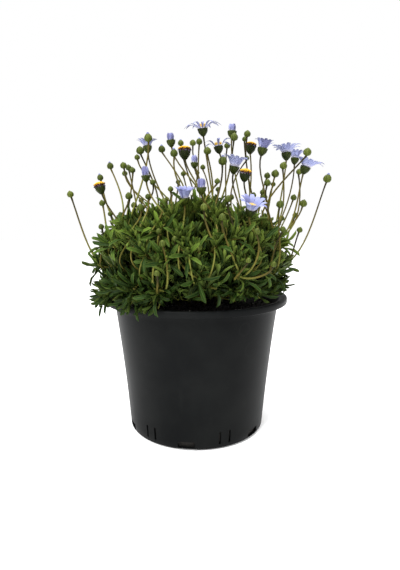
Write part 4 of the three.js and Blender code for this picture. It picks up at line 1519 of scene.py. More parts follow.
@dataclass(frozen=True)
class PetalFinish:
    """Lavender blue ray with fine grooves, violet while it is shut and dark when it has withered."""

    dusk: tuple = (0.042, 0.018, 0.036)
    violet: tuple = (0.100, 0.098, 0.208)
    blue: tuple = (0.202, 0.222, 0.435)
    light: tuple = (0.370, 0.400, 0.635)
    root: tuple = (0.560, 0.530, 0.580)
    roughness: float = 0.55

    def build(self) -> Material:
        """Return the material."""
        sheet = Sheet("petal")
        across, reach, under = sheet.blade()
        tone = sheet.tone()
        cloud = sheet.noise(300.0, 2.0)
        light = tone + (cloud - 0.5) * 0.16
        stops = ((0.08, self.dusk), (0.22, self.violet), (0.6, self.blue), (1.0, self.light))
        colour = sheet.ramp_of(light, stops)
        grooves = ((across * 2.5) * TURN).sine() * 0.5 + 0.5
        colour = sheet.mix(grooves * 0.22, colour, self.violet)
        is_open = tone.ramp(0.4, 0.5)
        colour = sheet.mix(under * is_open * 0.3, colour, self.light)
        colour = sheet.mix((1 - reach.ramp(0.0, 0.3)) * is_open * 0.75, colour, self.root)
        normal = sheet.bump(grooves, 0.5, 0.0002)
        return sheet.finish(colour, self.roughness, normal, 0.25)


@dataclass(frozen=True)
class FloretFinish:
    """Yellow florets, deeper orange between them, and dark red-brown where they are spent."""

    cream: tuple = (0.640, 0.500, 0.240)
    yellow: tuple = (0.740, 0.480, 0.024)
    orange: tuple = (0.520, 0.230, 0.008)
    spent: tuple = (0.045, 0.014, 0.010)
    roughness: float = 0.7

    def build(self) -> Material:
        """Return the material."""
        sheet = Sheet("floret")
        tone = sheet.tone()
        grain = sheet.noise(900.0, 2.0)
        light = tone + (grain - 0.5) * 0.2
        stops = ((0.04, self.cream), (0.16, self.yellow), (0.44, self.orange), (0.7, self.spent))
        colour = sheet.ramp_of(light, stops)
        normal = sheet.bump(grain, 0.4, 0.0002)
        return sheet.finish(colour, self.roughness, normal, 0.25)


@dataclass(frozen=True)
class PlasticFinish:
    """Charcoal plastic, satin and faintly clouded, with dull scuffs and two faint round marks."""

    dark: tuple = (0.0034, 0.0038, 0.0040)
    dusty: tuple = (0.0095, 0.0102, 0.0098)
    roughness: float = 0.34
    rings: tuple = (((0.050, -0.062, 0.090), 0.008), ((0.042, -0.068, 0.110), 0.006))

    def build(self) -> Material:
        """Return the material."""
        sheet = Sheet("pot_plastic")
        clouds = sheet.noise(14.0, 4.0, 0.6)
        scuffs = sheet.noise(60.0, 5.0, 0.7, (1.0, 1.0, 0.25)).ramp(0.56, 0.8)
        grain = sheet.noise(2600.0, 2.0)
        for middle, reach in self.rings:
            ends = {0: sheet.place(), 1: middle}
            away = sheet.node("ShaderNodeVectorMath", {"operation": "DISTANCE"}, ends, "Value")
            scuffs = scuffs + (1 - abs(away - reach).ramp(0.0, 0.0014)) * 0.8
        colour = sheet.mix(clouds.ramp(0.35, 0.7) * 0.5 + scuffs * 0.4, self.dark, self.dusty)
        rough = clouds * 0.14 + scuffs * 0.14 + self.roughness
        normal = sheet.bump(grain * 0.6 + sheet.noise(22.0, 2.0) * 6, 0.12, 0.0004)
        return sheet.finish(colour, rough, normal, 0.04)


@dataclass(frozen=True)
class SoilFinish:
    """Moist potting soil, near black, with lighter fibres."""

    dark: tuple = (0.0045, 0.0038, 0.0030)
    brown: tuple = (0.016, 0.012, 0.008)
    fibre: tuple = (0.050, 0.038, 0.026)
    roughness: float = 0.92

    def build(self) -> Material:
        """Return the material."""
        sheet = Sheet("soil")
        lumps = sheet.noise(260.0, 4.0, 0.7)
        specks = sheet.noise(900.0, 3.0, 0.6).ramp(0.62, 0.74)
        colour = sheet.mix(lumps.ramp(0.3, 0.75), self.dark, self.brown)
        colour = sheet.mix(specks * 0.6, colour, self.fibre)
        normal = sheet.bump(lumps + specks * 0.3, 0.8, 0.001)
        return sheet.finish(colour, self.roughness, normal)


@dataclass(frozen=True)
class GritFinish:
    """White grit in the soil, a little stained."""

    white: tuple = (0.62, 0.60, 0.55)
    stain: tuple = (0.26, 0.22, 0.17)

    def build(self) -> Material:
        """Return the material."""
        sheet = Sheet("grit")
        cloud = sheet.noise(700.0, 3.0)
        colour = sheet.mix(cloud.ramp(0.45, 0.7), self.white, self.stain)
        return sheet.finish(colour, 0.85, sheet.bump(cloud, 0.5, 0.0004))


# The pieces.


def dress(piece: Object, slot: str, *nodes: str) -> Object:
    """Fasten a piece to the body, hide the nodes that it stands for and log its triangles."""
    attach(piece, BODY)
    if nodes:
        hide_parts(*nodes)
    faces = sum(polygon.loop_total - 2 for polygon in piece.data.polygons)
    log.info("%s: %d triangles", piece.name, faces)
    return piece


@dataclass
class NurseryPot:
    """The black plastic pot, with its rolled rim and drain holes."""

    size: PotSize = POT
    drain: DrainSize = DRAIN
    sides: int = 144
    lip: float = 1.5
    lip_turns: tuple = (0, 18, 36, 54, 72, 90)
    outer_rings: tuple = (9.0, 17.0, 30.0, 45.0, 60.0, 80.0, 100.0)
    inner_rings: tuple = (110.0, 90.0, 60.0, 30.0)
    under_rim: tuple = (
        (-7.2, 0.6),
        (-6.4, 1.3),
        (-2.4, 1.4),
        (-1.8, 0.8),
        (-1.5, 0.1),
        (-0.9, 0.0),
        (-0.3, 0.3),
        (0.0, 1.2),
    )
    over_rim: tuple = ((-3.8, -0.1), (-5.6, -0.6), (-7.2, -1.6), (-8.0, -3.0))

    def build(self, finish: Material) -> Object:
        """Turn the pot, cut its holes and dress it."""
        pot = Bench.turned(self.sides, [(z * MM, radius * MM) for radius, z in self.outline()], True)
        pot.name = "nursery_pot"
        self.cut_holes(pot)
        bpy.ops.object.select_all(action="DESELECT")
        pot.select_set(True)
        bpy.context.view_layer.objects.active = pot
        bpy.ops.object.shade_smooth_by_angle(angle=math.radians(32))
        pot.data.materials.append(finish)
        return dress(pot, "pot", "pot")

    def outline(self) -> list[tuple[float, float]]:
        """Return the outline, with rounded edges at the rim and at the foot."""
        size = self.size
        top, rim = size.height, size.rim_radius
        skirt = top - size.rim_height
        points = [(12.0, 0.0), (40.0, 0.0), (size.base_radius - 1.2, 0.0), (size.base_radius, 0.25)]
        points += [(size.outer(0) - 0.6, 1.3), (size.outer(2.4) - 0.05, 2.4)]
        points += [(size.outer(z), z) for z in (*self.outer_rings, skirt - 6.0, skirt - 2.0)]
        points += [(rim + out, skirt + up) for out, up in self.under_rim]
        for turn in self.lip_turns:
            angle = math.radians(turn)
            reach = rim - self.lip + self.lip * math.cos(angle)
            points.append((reach, top - self.lip + self.lip * math.sin(angle)))
        points += [(rim + out, top + up) for out, up in self.over_rim]
        points += [(size.inner(skirt), skirt - 3.0)]
        points += [(size.inner(z), z) for z in (*self.inner_rings, size.floor + 1.2)]
        return points + [(size.inner(size.floor) - 1.0, size.floor), (12.0, size.floor)]

    def cut_holes(self, pot: Object) -> None:
        """Cut the drain windows, the arches under them and the slits between them."""
        drain = self.drain
        step = 360 / drain.count
        cutters = []
        for i in range(drain.count):
            window = drain.first_angle + i * step
            cutters.append(self.block(window, drain.window_width, drain.window_low, drain.window_high, 12))
            cutters.append(self.block(window, drain.arch_width, -1, drain.arch_rise, 16))
            for side in (-1, 1):
                slit = window + step / 2 + side * drain.slit_spread
                cutters.append(self.block(slit, drain.slit_width, drain.slit_low, drain.slit_high, 9))
        Bench.clear()
        for cutter in cutters:
            cutter.select_set(True)
        bpy.context.view_layer.objects.active = cutters[0]
        bpy.ops.object.join()
        tool = bpy.context.object
        Bench.clear()
        pot.select_set(True)
        bpy.context.view_layer.objects.active = pot
        cut = pot.modifiers.new("holes", "BOOLEAN")
        cut.operation = "DIFFERENCE"
        cut.solver = "EXACT"
        cut.object = tool
        bpy.ops.object.modifier_apply(modifier=cut.name)
        bpy.data.objects.remove(tool)

    def block(self, angle: float, width: float, low: float, high: float, depth: float) -> Object:
        """Return a block with rounded edges that spans the wall at an angle in degrees."""
        Bench.clear()
        turn = math.radians(angle)
        reach = self.size.outer((low + high) / 2)
        place = (reach * math.cos(turn) * MM, reach * math.sin(turn) * MM, (low + high) / 2 * MM)
        bpy.ops.mesh.primitive_cube_add(size=1, location=place, rotation=(0, 0, turn))
        block = bpy.context.object
        block.scale = (depth * MM, width * MM, (high - low) * MM)
        bpy.ops.object.transform_apply(location=True, rotation=True, scale=True)
        bpy.ops.object.mode_set(mode="EDIT")
        bpy.ops.mesh.select_all(action="SELECT")
        bpy.ops.mesh.bevel(offset=0.45 * MM, segments=2, affect="EDGES")
        bpy.ops.object.mode_set(mode="OBJECT")
        return block


@dataclass
class SoilBed:
    """The soil that fills the pot, crumbly on top, with loose crumbs and white grit."""

    size: SoilSize = SOIL
    sides: int = 120
    rings: int = 44
    crumbs: int = 620
    grits: int = 26
    seed: int = 77

    def height(self, x: float, y: float) -> float:
        """Return the height of the soil's top at a place, in millimetres."""
        out = math.hypot(x, y) / POT.inner(self.size.top)
        across = math.sin(0.19 * x + 1.3 * math.sin(0.11 * y))
        deep = math.cos(0.23 * y + 0.7 * math.sin(0.17 * x))
        bumps = self.size.grain * 0.5 * (across + deep) * (1 - out**6)
        return self.size.top + self.size.mound * (1 - out * out) + bumps

    def crumble(self, x: float, y: float) -> float:
        """Return the height with the crumbs of the surface on it."""
        lumps = noise.fractal(Vector((x * 0.16, y * 0.16, 1.7)), 0.8, 2.1, 4)
        pits = noise.voronoi(Vector((x * 0.32, y * 0.32, 4.1)))[0][0]
        return self.height(x, y) + 1.0 * lumps + 1.1 * (0.35 - pits)

    def build(self, soil: Material, grit: Material) -> list[Object]:
        """Build the bed, its crumbs and its grit."""
        low = POT.floor + BLADE.seat_gap
        edge = POT.inner(self.size.top) - BLADE.seat_gap - 0.3
        top = self.size.top
        outline = [(10.0, low), (POT.inner(low) - 0.9, low), (POT.inner(60) - 0.7, 60.0), (edge, top - 1)]
        outline += [(edge * (1 - (i + 0.5) / self.rings) ** 0.85, top) for i in range(self.rings)]
        bed = Bench.turned(self.sides, [(z * MM, radius * MM) for radius, z in outline], True)
        bed.name = "soil_bed"
        for vertex in bed.data.vertices:
            if vertex.co.z > (top - 0.2) * MM:
                vertex.co.z = self.crumble(vertex.co.x / MM, vertex.co.y / MM) * MM
        for polygon in bed.data.polygons:
            polygon.use_smooth = True
        bed.data.materials.append(soil)
        dress(bed, "soil", "soil")
        dice = Dice(self.seed)
        crumbs = self.scatter("soil_crumbs", self.crumbs, (0.5, 1.9), 76.0, dice, soil)
        grits = self.scatter("white_grit", self.grits, (0.35, 0.8), 74.0, dice, grit)
        return [bed, crumbs, grits]

    def scatter(
        self,
        name: str,
        count: int,
        radii: tuple[float, float],
        reach: float,
        dice: Dice,
        finish: Material,
    ) -> Object:
        """Scatter irregular grains over the bed as one piece."""
        grain = Bench.rod(6, ((0.0, 0.45), (0.3, 0.95), (0.72, 0.88), (1.0, 0.4)))
        controls, across, scale = [], [], []
        for _ in range(count):
            turn = dice.between(0, TURN)
            out = reach * math.sqrt(dice.between(0, 1))
            x, y = out * math.cos(turn), out * math.sin(turn)
            radius = radii[0] + (radii[1] - radii[0]) * dice.between(0, 1) ** 2.2
            heading = unit(np.array([dice.between(-1, 1), dice.between(-1, 1), dice.between(-0.6, 0.6)]))
            middle = np.array([x, y, self.crumble(x, y) + radius * 0.35])
            start = middle - heading * radius * dice.between(0.8, 1.5)
            controls.append(straight(start, middle + heading * radius))
            across.append(square(np.array([0.3, 0.2, 1.0]), heading))
            scale.append(radius * (0.8 + 0.35 * dice.row(len(grain.points), -1, 1)))
        shape = grain.lay(controls, across, scale)
        return dress(shape.to_piece(name, [finish]), "soil")


@dataclass(frozen=True)
class HeadForm:
    """The outline of a head's green scales, as heights and widths in head radii."""

    curve: tuple
    whorls: tuple
    old: float


CUP = ((-1.15, 0.2), (-0.86, 0.48), (-0.55, 1.04), (0.6, 1.12))
HEAD_FORMS = {
    Kind.BUD: HeadForm(((-0.9, 0.24), (-0.78, 1.26), (0.75, 1.22), (0.98, 0.10)), (9, 8), 0.0),
    Kind.TIPPED: HeadForm(((-0.9, 0.24), (-0.78, 1.22), (0.55, 1.12), (1.0, 0.36)), (9, 8), 0.05),
    Kind.OPENING: HeadForm(CUP, (10, 9), 0.26),
    Kind.OPEN: HeadForm(CUP, (10, 9), 0.4),
    Kind.SPENT: HeadForm(CUP, (10, 9), 0.5),
}


# Ways across stems and stalks, and the width, reach and lift of a head's two rows of scales.
WOOD_SIDE = np.array([0.6, 0.8, 0.05])
STALK_SIDE = np.array([0.7, 0.7, 0.1])
WHORLS = ((0.36, 0.97, 1.0), (0.27, 0.80, 1.05))


class Slot(IntEnum):
    """The material slots of a leafy stem."""

    LEAF = 0
    STALK = 1
    BRACT = 2
    PETAL = 3


@dataclass
class Masters:
    """The shapes that are modelled once."""

    leaf: Shape
    inner_leaf: Shape
    petal: Shape
    bract: Shape
    stem: Shape
    stalk: Shape
    sprig: Shape
    core: Shape
    floret: Shape
    star: Shape
    hair: Shape

    @staticmethod
    def model() -> "Masters":
        """Model each of them."""
        leaf_rows = ((0.0, 0.34), (0.3, 0.42), (0.62, 0.95), (0.86, 0.78), (1.0, 0.0))
        petal_rows = ((0.0, 0.4), (0.12, 0.6), (0.3, 0.92), (0.5, 1.04), (0.7, 1.0), (0.86, 0.8))
        petal_rows += ((0.96, 0.5), (1.0, 0.22))
        bract_rows = ((0.0, 0.8), (0.3, 1.0), (0.6, 0.9), (0.85, 0.5), (1.0, 0.0))
        star_rings = ((0.0, 0.35), (0.55, 0.5), (0.8, 1.0), (0.9, 1.05), (0.86, 0.35))
        star_rings += ((1.25, 0.3), (1.4, 0.12))
        return Masters(
            leaf=Bench.blade(leaf_rows, 0.9, 0.2),
            inner_leaf=Bench.blade(leaf_rows, 0.9, 0.2, columns=2),
            petal=Bench.blade(petal_rows, 0.12, 0.14, 0.06),
            bract=Bench.blade(bract_rows, -0.14, 0.3),
            stem=Bench.rod(7, [(k / 16, 1.0) for k in range(-3, 17)], True),
            stalk=Bench.rod(6, [(k / 11, 1.0) for k in range(12)], True),
            sprig=Bench.rod(5, [(k / 4, 1.1 - 0.1 * k) for k in range(5)]),
            core=Bench.rod(10, [(k / 8, 1.0) for k in range(9)]),
            floret=Bench.rod(5, ((0.0, 0.6), (0.4, 0.95), (0.8, 0.8), (1.0, 0.3))),
            star=Bench.rod(5, star_rings),
            hair=Bench.rod(3, ((0.0, 1.0), (1.0, 0.2))),
        )


@dataclass
class LeafyStem:
    """One main stem with its twigs, leaves, flower stalks and heads' green scales."""

    stem: Shoot
    index: int
    masters: Masters
    pitch: float = 2.1
    leafy: float = 34.0
    full_from: float = 9.0
    flat_from: float = 30.0
    shoot_leaves: tuple[float, float] = (22.0, 0.8)
    sprig_leaves: tuple[float, float] = (19.0, 0.95)
    hanging_leaves: tuple[float, float] = (22.0, 0.15)
    inner: float = 0.84
    outermost: float = 1.02
    # Painted shade: leaves deep in the bush and low down get a darker tone, which lightens out over these
    # depths and heights.
    painted_shade_depth: float = 0.66
    painted_shade_fade_depth: float = 0.4
    painted_shade_height: float = 136.0
    painted_shade_fade_height: float = 58.0
    slim: float = 0.78
    planned_slim: float = 0.8
    stem_sprigs: int = 7
    twig_sprigs: int = 4
    offshoots: int = 13
    cap_shoots: int = 5
    lowest: float = 134.0
    drape: float = 113.0
    left_edge: float = -36.0
    hanging_share: float = 0.6
    hanging_from: float = 158.0
    low_levels: tuple[float, float] = (-32.0, 72.0)
    fan: float = 1.2
    hanging_end: tuple[float, float] = (82.0, 130.0)
    leaning_end: tuple[float, float] = (71.0, 134.0)
    bare_drop: tuple[float, float] = (20.0, 40.0)
    bare_lowest: float = -16.0
    bare_depth: float = 0.9
    hairs: int = 46
    hair_radius: float = 0.045
    shoot_radius: float = 0.6
    sprig_span: tuple[float, float] = (15.0, 27.0)
    sprig_radius: float = 0.72
    sprig_tone: float = 0.06
    beak_form: tuple = ((0.7, 0.52), (0.88, 0.4), (1.0, 0.22), (1.06, 0.06))
    tuft_form: tuple = ((0.45, 0.34), (0.8, 0.40), (1.12, 0.30), (1.34, 0.10))

    def build(self, finishes: Sequence[Material]) -> Object:
        """Build the stem as one piece that stands for its plain node."""
        self.dice = Dice(900 + self.index)
        shoots = [self.stem, *self.stem.twigs]
        shapes = [self.wood(shoots), self.foliage(shoots)]
        stalks = [stalk for shoot in shoots for stalk in shoot.stalks]
        if stalks:
            shapes += [self.stalks(stalks), self.bare_shoots(stalks), self.down(stalks)]
        for stalk in stalks:
            shapes += self.head(stalk.head)
        name = f"marguerite_stem_{self.index + 1:02d}"
        piece = Shape.joined(shapes).to_piece(name, finishes)
        return dress(piece, "foliage", f"leafy_stem_{self.index + 1:02d}")

    @property
    def bearing(self) -> float:
        """Return the stem's bearing round the plant."""
        return math.atan2(self.stem.ray[1], self.stem.ray[0])

    def wood(self, shoots: list[Shoot]) -> Shape:
        """Lay the stem and its twigs."""
        shapes = []
        for shoot in shoots:
            master = self.masters.stem if shoot is self.stem else self.masters.stalk
            t = np.clip(master.points[:, 1], 0, 1)
            radius = shoot.radii[0] + (shoot.radii[1] - shoot.radii[0]) * t
            knots = 1 + 0.10 * np.sin(t * 46) ** 8
            brown = np.clip(1.0 - 0.9 * t, 0.35, 1.0) if shoot is self.stem else 0.62 - 0.3 * t
            controls = np.array([shoot.controls])
            across = sideways(controls, WOOD_SIDE)
            size = (radius * knots)[None]
            shapes.append(master.lay(controls, across, size, brown[None], Slot.STALK))
        return Shape.joined(shapes)

    def foliage(self, shoots: list[Shoot]) -> Shape:
        """Lay the planned leaves and, between them, the rest of the foliage."""
        leaves = [leaf for shoot in shoots for leaf in shoot.leaves]
        planned = len(leaves)
        sprigs = self.low_shoots() + self.cap()
        for shoot in shoots:
            leaves += self.leaves_on(shoot.controls, self.leafy, *self.shoot_leaves)
            sprigs += self.sprigs(shoot)
        for sprig in sprigs:
            hangs = sprig[3][2] < sprig[2][2]
            span = self.leafy if hangs else self.leafy * self.dice.between(0.5, 1.0)
            leaves += self.leaves_on(sprig, span, *(self.hanging_leaves if hangs else self.sprig_leaves))
        controls = through(np.array([leaf.points for leaf in leaves]), (0.42, 0.78))
        across = -np.array([leaf.across for leaf in leaves])
        half = np.array([leaf.half for leaf in leaves])
        half[:planned] *= self.planned_slim
        tone = self.dice.row(len(leaves), 0.0, 1.0)
        roll = self.dice.row(len(leaves), -0.7, 0.7)
        inside = bush_depth(controls[:, 3]) < self.inner
        parts = []
        for master, chosen in ((self.masters.leaf, ~inside), (self.masters.inner_leaf, inside)):
            laid = (controls[chosen], across[chosen], half[chosen], tone[chosen])
            parts.append(master.lay(*laid, Slot.LEAF, roll[chosen]))
        leafage = Shape.joined(parts)
        # Painted shade: the tone darkens towards the bush's middle and low down, where the foliage shades
        # the leaves.
        outer = np.clip((bush_depth(leafage.points) - self.painted_shade_depth) / self.painted_shade_fade_depth, 0.0, 1.0)
        height = np.clip((leafage.points[:, 2] - self.painted_shade_height) / self.painted_shade_fade_height, 0.0, 1.0)
        leafage.tone = (0.35 + 0.65 * leafage.tone) * (0.03 + 0.97 * outer) * (0.45 + 0.55 * height)
        across = sideways(sprigs, WOOD_SIDE)
        wood = self.masters.sprig.lay(sprigs, across, self.sprig_radius, self.sprig_tone, Slot.STALK)
        return Shape.joined([leafage, wood])

    def leaves_on(
        self, controls: Sequence[Array], span: float, longest: float, rise: float
    ) -> list[Leaf]:
        """Return leaves down a shoot from its tip, where they are small and upright.

        Args:
            controls: The control points of the shoot's curve.
            span: How far down the leaves stand.
            longest: The length of a full leaf.
            rise: How strongly the leaves lean up to the light.

        Returns:
            The leaves that have room over the pot.
        """
        reach = length_of(controls[3] - controls[0]) * SLACK
        leaves = []
        turn = self.dice.between(0, TURN)
        down = 0.3
        while down < min(span, reach * 0.85):
            turn += GOLDEN_ANGLE
            point, heading = along(controls, 1 - down / reach)
            side = side_of(heading, 0.9)
            out = around(heading, side, turn)
            share = min(1.0, down / self.full_from)
            size = longest * (0.42 + 0.58 * share) * self.dice.between(0.75, 1.1)
            lean = 9 + 38 * share + 14 * min(1.0, down / self.flat_from)
            lift = math.radians(lean + self.dice.between(-8, 8))
            place = Place(point + out * 0.4, out, heading, side)
            curl = self.dice.between(-0.2, 0.9)
            leaf = leaf_at(place, lift, 0.0, size, curl, rise + self.dice.between(-0.15, 0.2))
            leaf.half *= self.slim
            if self.may_hang(leaf.points[3]) and is_clear_of_pot(leaf.points, 0.3).all():
                leaves.append(leaf)
            down += self.pitch * self.dice.between(0.8, 1.2) * (0.45 + 0.55 * share)
        return leaves

    def may_hang(self, tip: Array) -> bool:
        """Tell whether the foliage reaches down to a leaf's tip: over the rim only on the left."""
        over_left = tip[0] < self.left_edge and math.hypot(tip[0], tip[1]) > POT.rim_radius
        return tip[2] > (self.drape if over_left else self.lowest)

    def is_chosen(self) -> bool:
        """Draw whether a shoot that may hang or lean does so."""
        return self.dice.between(0, 1) < self.hanging_share

    def low_shoots(self) -> list[list[Array]]:
        """Return the curves of shoots from the stem's lower part, which fill the bush low down."""
        curves = []
        for i in range(self.offshoots):
            start = along(self.stem.controls, self.dice.between(0.05, 0.45))[0]
            fan = self.fan * ((i + 0.5) / self.offshoots - 0.5)
            turn = self.bearing + fan + self.dice.between(-0.1, 0.1)
            share = (i * 0.618 + self.index * 0.37) % 1.0
            lowest, span = self.low_levels
            level = math.radians(span * share**1.5 + lowest)
            depth = self.dice.between(0.7, 1.02)
            out = ray_at(turn)
            hangs = out[0] < -0.3 and out[1] < 0.4 and level < 0 and self.is_chosen()
            leans = out[0] > 0.35 and level < 0.1 and self.is_chosen()
            if hangs or leans:
                far, low = self.hanging_end if hangs else self.leaning_end
                end = out * self.dice.between(far, far + 11) + UP * self.dice.between(low, low + 12)
                last = end + UP * 12 - out * 8
            else:
                end = bush_point(turn, level, depth)
                last = end - UP * 13 - out * 4
            if end[2] < self.lowest and not hangs and not leans:
                continue
            curves.append([start, start + out * 8 + UP * 8, last, end])
        return curves

    def cap(self) -> list[list[Array]]:
        """Return the curves of shoots that close the bush on top."""
        curves = []
        for _ in range(self.cap_shoots):
            start = along(self.stem.controls, self.dice.between(0.25, 0.6))[0]
            turn = self.bearing + self.dice.between(-0.9, 0.9)
            level = math.radians(self.dice.between(42, 88))
            end = bush_point(turn, level, self.dice.between(0.78, 1.0))
            curves.append([start, start + UP * 14, end - UP * 13 - ray_at(turn) * 3, end])
        return curves

    def sprigs(self, shoot: Shoot) -> list[list[Array]]:
        """Return the curves of short side shoots, which fill the bush out to its surface."""
        curves = []
        count = self.stem_sprigs if shoot is self.stem else self.twig_sprigs
        for i in range(count):
            t = 0.26 + 0.7 * (i + self.dice.between(0.1, 0.9)) / count
            start, heading = along(shoot.controls, t)
            away = unit(start - BUSH_CENTRE * np.array([1.0, 1.0, 0.8]))
            loose = self.dice.row(3, -1, 1) * 0.75
            hangs = start[2] < self.hanging_from and away[0] < -0.3 and self.is_chosen()
            lift = self.dice.between(-0.5, 0.0) if hangs else self.dice.between(0.35, 0.9)
            way = unit(away * 0.8 + UP * lift + loose + heading * 0.5)
            span = self.dice.between(*self.sprig_span)
            while bush_depth(start + way * span) > self.outermost and span > 8:
                span -= 2
            end = start + way * span
            if end[2] < self.lowest - 4:
                continue
            second = start + heading * span * 0.25 + way * span * 0.1
            curves.append([start, second, end - way * span * 0.4, end])
        return curves

    def stalks(self, stalks: list[Stalk]) -> Shape:
        """Lay the flower stalks, which widen a little under their heads."""
        master = self.masters.stalk
        t = np.clip(master.points[:, 1], 0, 1)
        radius = BUSH.stalk_radius * (1.06 - 0.14 * t + 0.3 * np.clip((t - 0.93) / 0.07, 0, 1))
        controls = np.array([stalk.controls for stalk in stalks])
        across = sideways(controls, STALK_SIDE)
        tone = self.dice.row(len(stalks), 0.2, 0.7)
        shade = np.clip(tone[:, None] + 0.9 * (t - 0.5)[None, :], 0.05, 0.95)
        scale = np.tile(radius, (len(stalks), 1))
        return master.lay(controls, across, scale, shade, Slot.STALK)

    def bare_shoots(self, stalks: list[Stalk]) -> Shape:
        """Lay the bare shoots from which the stalks grow, up over the bush's surface."""
        curves = []
        for stalk in stalks:
            root = stalk.controls[0]
            away = root - BUSH_CENTRE
            bearing = math.atan2(away[1], away[0]) + self.dice.between(-0.1, 0.1)
            high = math.asin(min(0.97, max(-0.5, away[2] / BUSH.rise)))
            drop = math.radians(self.dice.between(*self.bare_drop))
            low = max(high - drop, math.radians(self.bare_lowest))
            if high - low < 0.2 or bush_depth(root) < 0.8 or math.hypot(away[0], away[1]) < 18:
                continue
            foot = bush_point(bearing, low, self.bare_depth)
            points = [foot]
            depth = 0.98 + 0.08 * math.sin(bearing) ** 4
            for share in (0.35, 0.7):
                spot = foot + (root - foot) * share
                points.append(BUSH_CENTRE + (spot - BUSH_CENTRE) * max(1.0, depth / bush_depth(spot)))
            curves.append([*points, root])
        if not curves:
            root = stalks[0].controls[0]
            curves = [straight(root - UP * 3, root)]
        controls = through(np.array(curves), (0.35, 0.7))
        across = sideways(controls, STALK_SIDE)
        tone = self.dice.row(len(curves), 0.1, 0.45)
        return self.masters.stalk.lay(controls, across, self.shoot_radius, tone, Slot.STALK)

    def down(self, stalks: list[Stalk]) -> Shape:
        """Lay short hairs round the flower stalks."""
        controls, across = [], []
        for stalk in stalks:
            for _ in range(self.hairs):
                point, heading = along(stalk.controls, self.dice.between(0.12, 0.98))
                out = around(heading, square(STALK_SIDE, heading), self.dice.between(0, TURN))
                way = unit(out + heading * self.dice.between(-0.2, 0.7))
                root = point + out * (BUSH.stalk_radius * 0.85)
                end = root + way * self.dice.between(0.5, 1.0)
                controls.append(straight(root, end))
                across.append(square(heading, way))
        return self.masters.hair.lay(controls, across, self.hair_radius, 0.1, Slot.STALK)

    def head(self, head: Head) -> list[Shape]:
        """Lay the green core and scales of a head, and the rays that peep out of a tipped one."""
        form = HEAD_FORMS[head.kind]
        curve = np.array(form.curve) * head.radius
        bottom = head.at + head.axis * curve[0, 0]
        is_cup = curve[3, 1] >= head.radius * 0.5
        top = head.at + head.axis * (curve[3, 0] - (0.2 * head.radius if is_cup else 0.0))
        master = self.masters.core
        spots = bernstein(np.linspace(0, 1, 60)) @ curve
        heights = bottom[None] + (top - bottom)[None] * master.points[:, 1:2]
        level = (heights - head.at) @ head.axis
        radius = np.interp(level, spots[:, 0], spots[:, 1]) * 0.95
        line = [straight(bottom, top)]
        tone = 0.62 - form.old + self.dice.between(-0.1, 0.25) * (1 - form.old)
        shapes = [master.lay(line, head.side[None], radius[None], tone * 0.7, Slot.BRACT)]
        for whorl, (count, (wide, far, lift)) in enumerate(zip(form.whorls, WHORLS)):
            controls, across, shades = [], [], []
            for i in range(count):
                turn = (i + 0.5 * whorl) / count * TURN + self.dice.between(-0.08, 0.08)
                out = around(head.axis, head.side, turn)
                reach = far + self.dice.between(-0.04, 0.05)
                part = self.part_of(curve, reach) * np.array([1.0, lift])
                controls.append([head.at + head.axis * h + out * w for h, w in part])
                across.append(cross(head.axis, out))
                shades.append(tone + self.dice.between(-0.08, 0.08))
            size = wide * head.radius
            shapes.append(self.masters.bract.lay(controls, across, size, shades, Slot.BRACT))
        if head.kind is Kind.TIPPED:
            shapes.append(self.tuft(head))
        if head.kind is Kind.BUD:
            shapes.append(self.beak(head, tone))
        return shapes

    def beak(self, head: Head, tone: float) -> Shape:
        """Lay the tips of the inner scales, which close a bud in a small point."""
        controls, across = self.closing(head, self.beak_form, 5, 0.3, (-0.05, 0.1))
        pale = min(1.0, tone + 0.25)
        return self.masters.bract.lay(controls, across, 0.22 * head.radius, pale, Slot.BRACT)

    def tuft(self, head: Head) -> Shape:
        """Lay the folded rays that stand in the mouth of a tipped bud."""
        controls, across = self.closing(head, self.tuft_form, 9, 0.0, (-0.06, 0.06))
        tone = self.dice.row(len(controls), 0.15, 1.0)
        return self.masters.petal.lay(controls, across, 0.2 * head.radius, tone, Slot.PETAL)

    def closing(
        self, head: Head, form: tuple, count: int, start: float, swing: tuple[float, float]
    ) -> tuple[Array, Array]:
        """Return the curves of blades that close a head, and their ways across.

        Args:
            head: The head.
            form: The height and width of a blade's four control points, in head radii.
            count: How many blades stand round the head.
            start: Where the first stands, in shares of the step between two.
            swing: How far a blade's tip may stand higher or lower.

        Returns:
            The control points of each blade, and its way across.
        """
        controls, across = [], []
        for i in range(count):
            out = around(head.axis, head.side, (i + start) / count * TURN)
            spots = (*form[:3], (form[3][0] + self.dice.between(*swing), form[3][1]))
            controls.append([head.at + (head.axis * h + out * w) * head.radius for h, w in spots])
            across.append(cross(head.axis, out))
        return np.array(controls), np.array(across)

    @staticmethod
    def part_of(curve: Array, share: float) -> Array:
        """Return the control points of a curve's first part."""
        a, b, c, d = curve
        ab, bc, cd = a + (b - a) * share, b + (c - b) * share, c + (d - c) * share
        abc, bcd = ab + (bc - ab) * share, bc + (cd - bc) * share
        return np.array([a, ab, abc, abc + (bcd - abc) * share])


